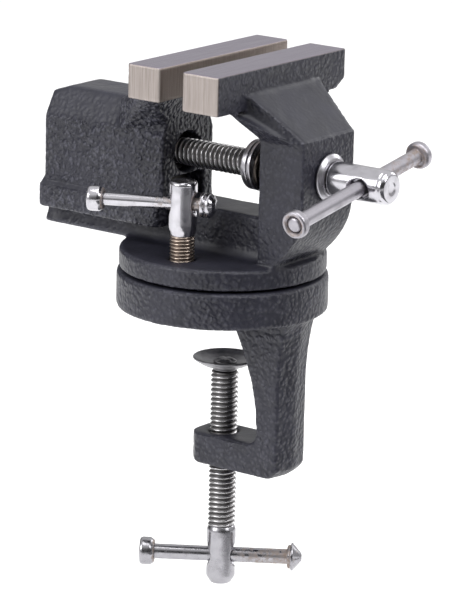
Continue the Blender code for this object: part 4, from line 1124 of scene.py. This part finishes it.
def build_bar(name, node, rod, kind, metal, edge):
    """Sliding bar with its far knob, and the riveted cap on its near end."""
    axis, turn = joint_axis(node + "_slide"), node.replace("_bar", "_turn")
    on_axis = level_with(joint_place(turn), joint_axis(turn), middle(node))
    low, high = span(node, axis)
    cap_low, cap_high = span(node + "_cap", axis)
    start = on_axis + axis * (min(low, cap_low) - on_axis.dot(axis))
    whole = high - min(low, cap_low)
    size = cap_high - cap_low
    cap_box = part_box(node + "_cap")
    knob = (cap_box[1].z - cap_box[0].z) / 2
    if abs(axis.z) > 0.01:
        knob = (knob - size / 2 * abs(axis.z)) / math.sqrt(1.0 - axis.z ** 2)
    profile = [(knob * across, whole - size * along) for across, along in KNOBS[kind]]
    profile += [(rod, whole - size), (rod, 0.0009), (rod * 0.80, 0.0002), (rod * 0.45, 0.0), (0.0, 0.0)]
    mesh = turned(softened(profile, edge), start, axis)
    stain_near(mesh, start + axis * (whole - size), knob * 0.85, knob * 0.35, 1.05)
    stain_near(mesh, start + axis * size, rod * 1.05, rod * 0.6, 0.7)
    settle(name, [(mesh, metal)], node, 55.0)
    bore = rod + 0.0002
    cap = [(bore, size), (knob * 0.80, size), (knob, size * 0.74), (knob, size * 0.16), (knob * 0.90, 0.0),
           (bore + 0.0007, 0.0), (bore, 0.0007)]
    mesh = turned(softened(cap, edge, ring=True), start, axis, ring=True)
    stain_near(mesh, start, knob * 0.80, knob * 0.12, 1.1)
    stain_near(mesh, start + axis * size, knob * 0.85, knob * 0.2, 1.05)
    settle(name + "_riveted_cap", [(mesh, metal)], node + "_cap", 55.0)


class VISE_OT_bars(bpy.types.Operator):
    """Build the three sliding bars with their knobs and caps"""

    bl_idname = "vise.bars"
    bl_label = "Bars"

    def execute(self, context):
        settings = context.scene.vise_bars
        metals = metal_set(context)
        plans = (
            ("main_bar", "spindle_bar", settings.spindle_rod, "round", "dull", "bright_steel"),
            ("swivel_lock_bar", "lock_bar", settings.lock_rod, "ball", "chrome", "chrome"),
            ("table_clamp_bar", "clamp_bar", settings.clamp_rod, "point", "shadowed chrome", "chrome"),
        )
        for name, node, rod, kind, metal, slot in plans:
            build_bar(name, node, rod, kind, metals[metal], settings.edge)
        return {"FINISHED"}


class VISE_OT_fittings(bpy.types.Operator):
    """Give the nut, its screw, the pivot bolt and its washer their metals"""

    bl_idname = "vise.fittings"
    bl_label = "Hidden fittings"

    def execute(self, context):
        metals = metal_set(context)
        finishes = {"spindle_nut": "iron", "nut_screw": "oiled", "pivot_bolt": "oiled", "pivot_washer": "collar"}
        for node, metal in finishes.items():
            item = frame["nodes"][node]
            item.data.materials.clear()
            item.data.materials.append(metals[metal])
        return {"FINISHED"}


# ---------------------------------------------------------------- stage

CARD_LOW, CARD_HIGH = (0.20, -0.90), (1.20, 0.25)     # corners of the dark card on the floor
LIGHTS = (
    # name, place, width in metres, power in watts
    ("key", (-0.55, -1.25, 0.75), 0.9, 11.0),
    ("top", (0.25, -0.10, 1.50), 1.2, 10.0),
    ("side", (1.15, 0.10, 0.95), 0.7, 8.0),
    ("back", (0.30, 1.40, 0.60), 0.7, 4.0),
)


class VISE_OT_stage(bpy.types.Operator):
    """Build the floor, the lights and the camera"""

    bl_idname = "vise.stage"
    bl_label = "Stage"

    def execute(self, context):
        settings = context.scene.vise_stage
        context.scene.view_settings.view_transform = "Standard"
        level = CAD_BOX[0].z - settings.floor_gap
        half = settings.floor_size / 2
        self.build_sheet("floor", (-half, -half), (half, half), level, {
            "Base Color": (0.95, 0.95, 0.95), "Roughness": 0.9,
            "Emission Color": (1.0, 1.0, 1.0, 1.0), "Emission Strength": 0.14,
        })
        card = self.build_sheet("dark_card", CARD_LOW, CARD_HIGH, level + 0.001, {
            "Base Color": (0.06, 0.06, 0.066), "Roughness": 0.9,
        })
        card.visible_camera = False
        self.build_world(context)
        self.build_lights()
        self.build_camera(context, settings)
        return {"FINISHED"}

    def build_sheet(self, name, low, high, level, paint):
        """Flat sheet of the stage: the pale floor, or the card that bright metal reflects."""
        bm = bmesh.new()
        corners = ((low[0], low[1]), (high[0], low[1]), (high[0], high[1]), (low[0], high[1]))
        bm.faces.new([bm.verts.new((x, y, level)) for x, y in corners])
        mesh = mesh_from(bm, name)
        mesh.materials.append(material(name + "_paint", set_shader, paint))
        sheet = new_object(name, mesh)
        return sheet

    def build_world(self, context):
        """Soft light from all round, with a dark side towards +X that shows in bright metal."""
        world = bpy.data.worlds.new("studio")
        context.scene.world = world
        world.use_nodes = True
        tree = world.node_tree
        direction = add_node(tree, "ShaderNodeTexCoord").outputs["Generated"]
        parts = add_node(tree, "ShaderNodeSeparateXYZ", {0: direction})
        across, forward, up = (parts.outputs[axis] for axis in "XYZ")
        sky = ramp(tree, up, 0.0, 0.6, 0.50, 0.95)
        towards = calculate(tree, "SUBTRACT", times(tree, across, 0.85), times(tree, forward, 0.52))
        right = ramp(tree, towards, 0.45, 0.75, 1.0, 0.10)
        left = ramp(tree, across, -0.92, -0.70, 0.25, 1.0)
        sides = blend_values(tree, ramp(tree, up, 0.55, 0.80), times(tree, right, left), 1.0)
        level = times(tree, sky, sides)
        background = tree.nodes["Background"]
        tree.links.new(level, background.inputs["Color"])
        background.inputs["Strength"].default_value = 0.95

    def build_lights(self):
        """Large soft lights round the vise, turned to it."""
        for name, spot, size, power in LIGHTS:
            light = bpy.data.lights.new(name, "AREA")
            light.shape = "DISK"
            light.size = size
            light.energy = power
            item = new_object(name, light)
            item.location = spot
            item.rotation_euler = (-Vector(spot)).to_track_quat("-Z", "Y").to_euler()

    def build_camera(self, context, settings):
        """Camera turned to the vise."""
        around, up = settings.azimuth, settings.elevation
        back = Vector((math.sin(around) * math.cos(up), -math.cos(around) * math.cos(up), math.sin(up)))
        turn = (-back).to_track_quat("-Z", "Y").to_matrix().to_4x4() @ Matrix.Rotation(settings.roll, 4, "Z")
        right, upward = turn.col[0].to_3d(), turn.col[1].to_3d()
        aim = right * settings.shift_right + upward * settings.shift_up - Z_AXIS * settings.reference_depth
        data = bpy.data.cameras.new("camera")
        data.lens = settings.lens
        data.sensor_width = 36.0
        data.clip_end = 30.0
        camera = new_object("camera", data)
        camera.matrix_world = Matrix.Translation(aim + back * settings.distance) @ turn
        context.scene.camera = camera


# ---------------------------------------------------------------- add-on

SETTINGS = (
    ("vise_castings", VISE_PG_castings),
    ("vise_screws", VISE_PG_screws),
    ("vise_bars", VISE_PG_bars),
    ("vise_metals", VISE_PG_metals),
    ("vise_stage", VISE_PG_stage),
)
OPERATORS = (
    VISE_OT_castings,
    VISE_OT_main_screw,
    VISE_OT_spring,
    VISE_OT_lock_screw,
    VISE_OT_clamp_screw,
    VISE_OT_bars,
    VISE_OT_fittings,
    VISE_OT_stage,
)


class VISE_PT_panel(bpy.types.Panel):
    """Sidebar panel that lists the build steps."""

    bl_idname = "VISE_PT_panel"
    bl_label = "Bench Vise"
    bl_space_type = "VIEW_3D"
    bl_region_type = "UI"
    bl_category = "Vise"

    def draw(self, context):
        for operator in OPERATORS:
            self.layout.operator(operator.bl_idname)
        for name, group in SETTINGS:
            column = self.layout.column(align=True)
            for setting in group.__annotations__:
                column.prop(getattr(context.scene, name), setting)


def register():
    """Register the settings, the operators and the panel."""
    for name, group in SETTINGS:
        bpy.utils.register_class(group)
        setattr(bpy.types.Scene, name, PointerProperty(type=group))
    for item in (*OPERATORS, VISE_PT_panel):
        bpy.utils.register_class(item)


def unregister():
    """Take everything back out."""
    for item in (VISE_PT_panel, *reversed(OPERATORS)):
        bpy.utils.unregister_class(item)
    for name, group in reversed(SETTINGS):
        delattr(bpy.types.Scene, name)
        bpy.utils.unregister_class(group)


def main():
    """Build the vise and its stage."""
    register()
    for operator in OPERATORS:
        family, name = operator.bl_idname.split(".")
        getattr(getattr(bpy.ops, family), name)()


if __name__ == "__main__":
    main()
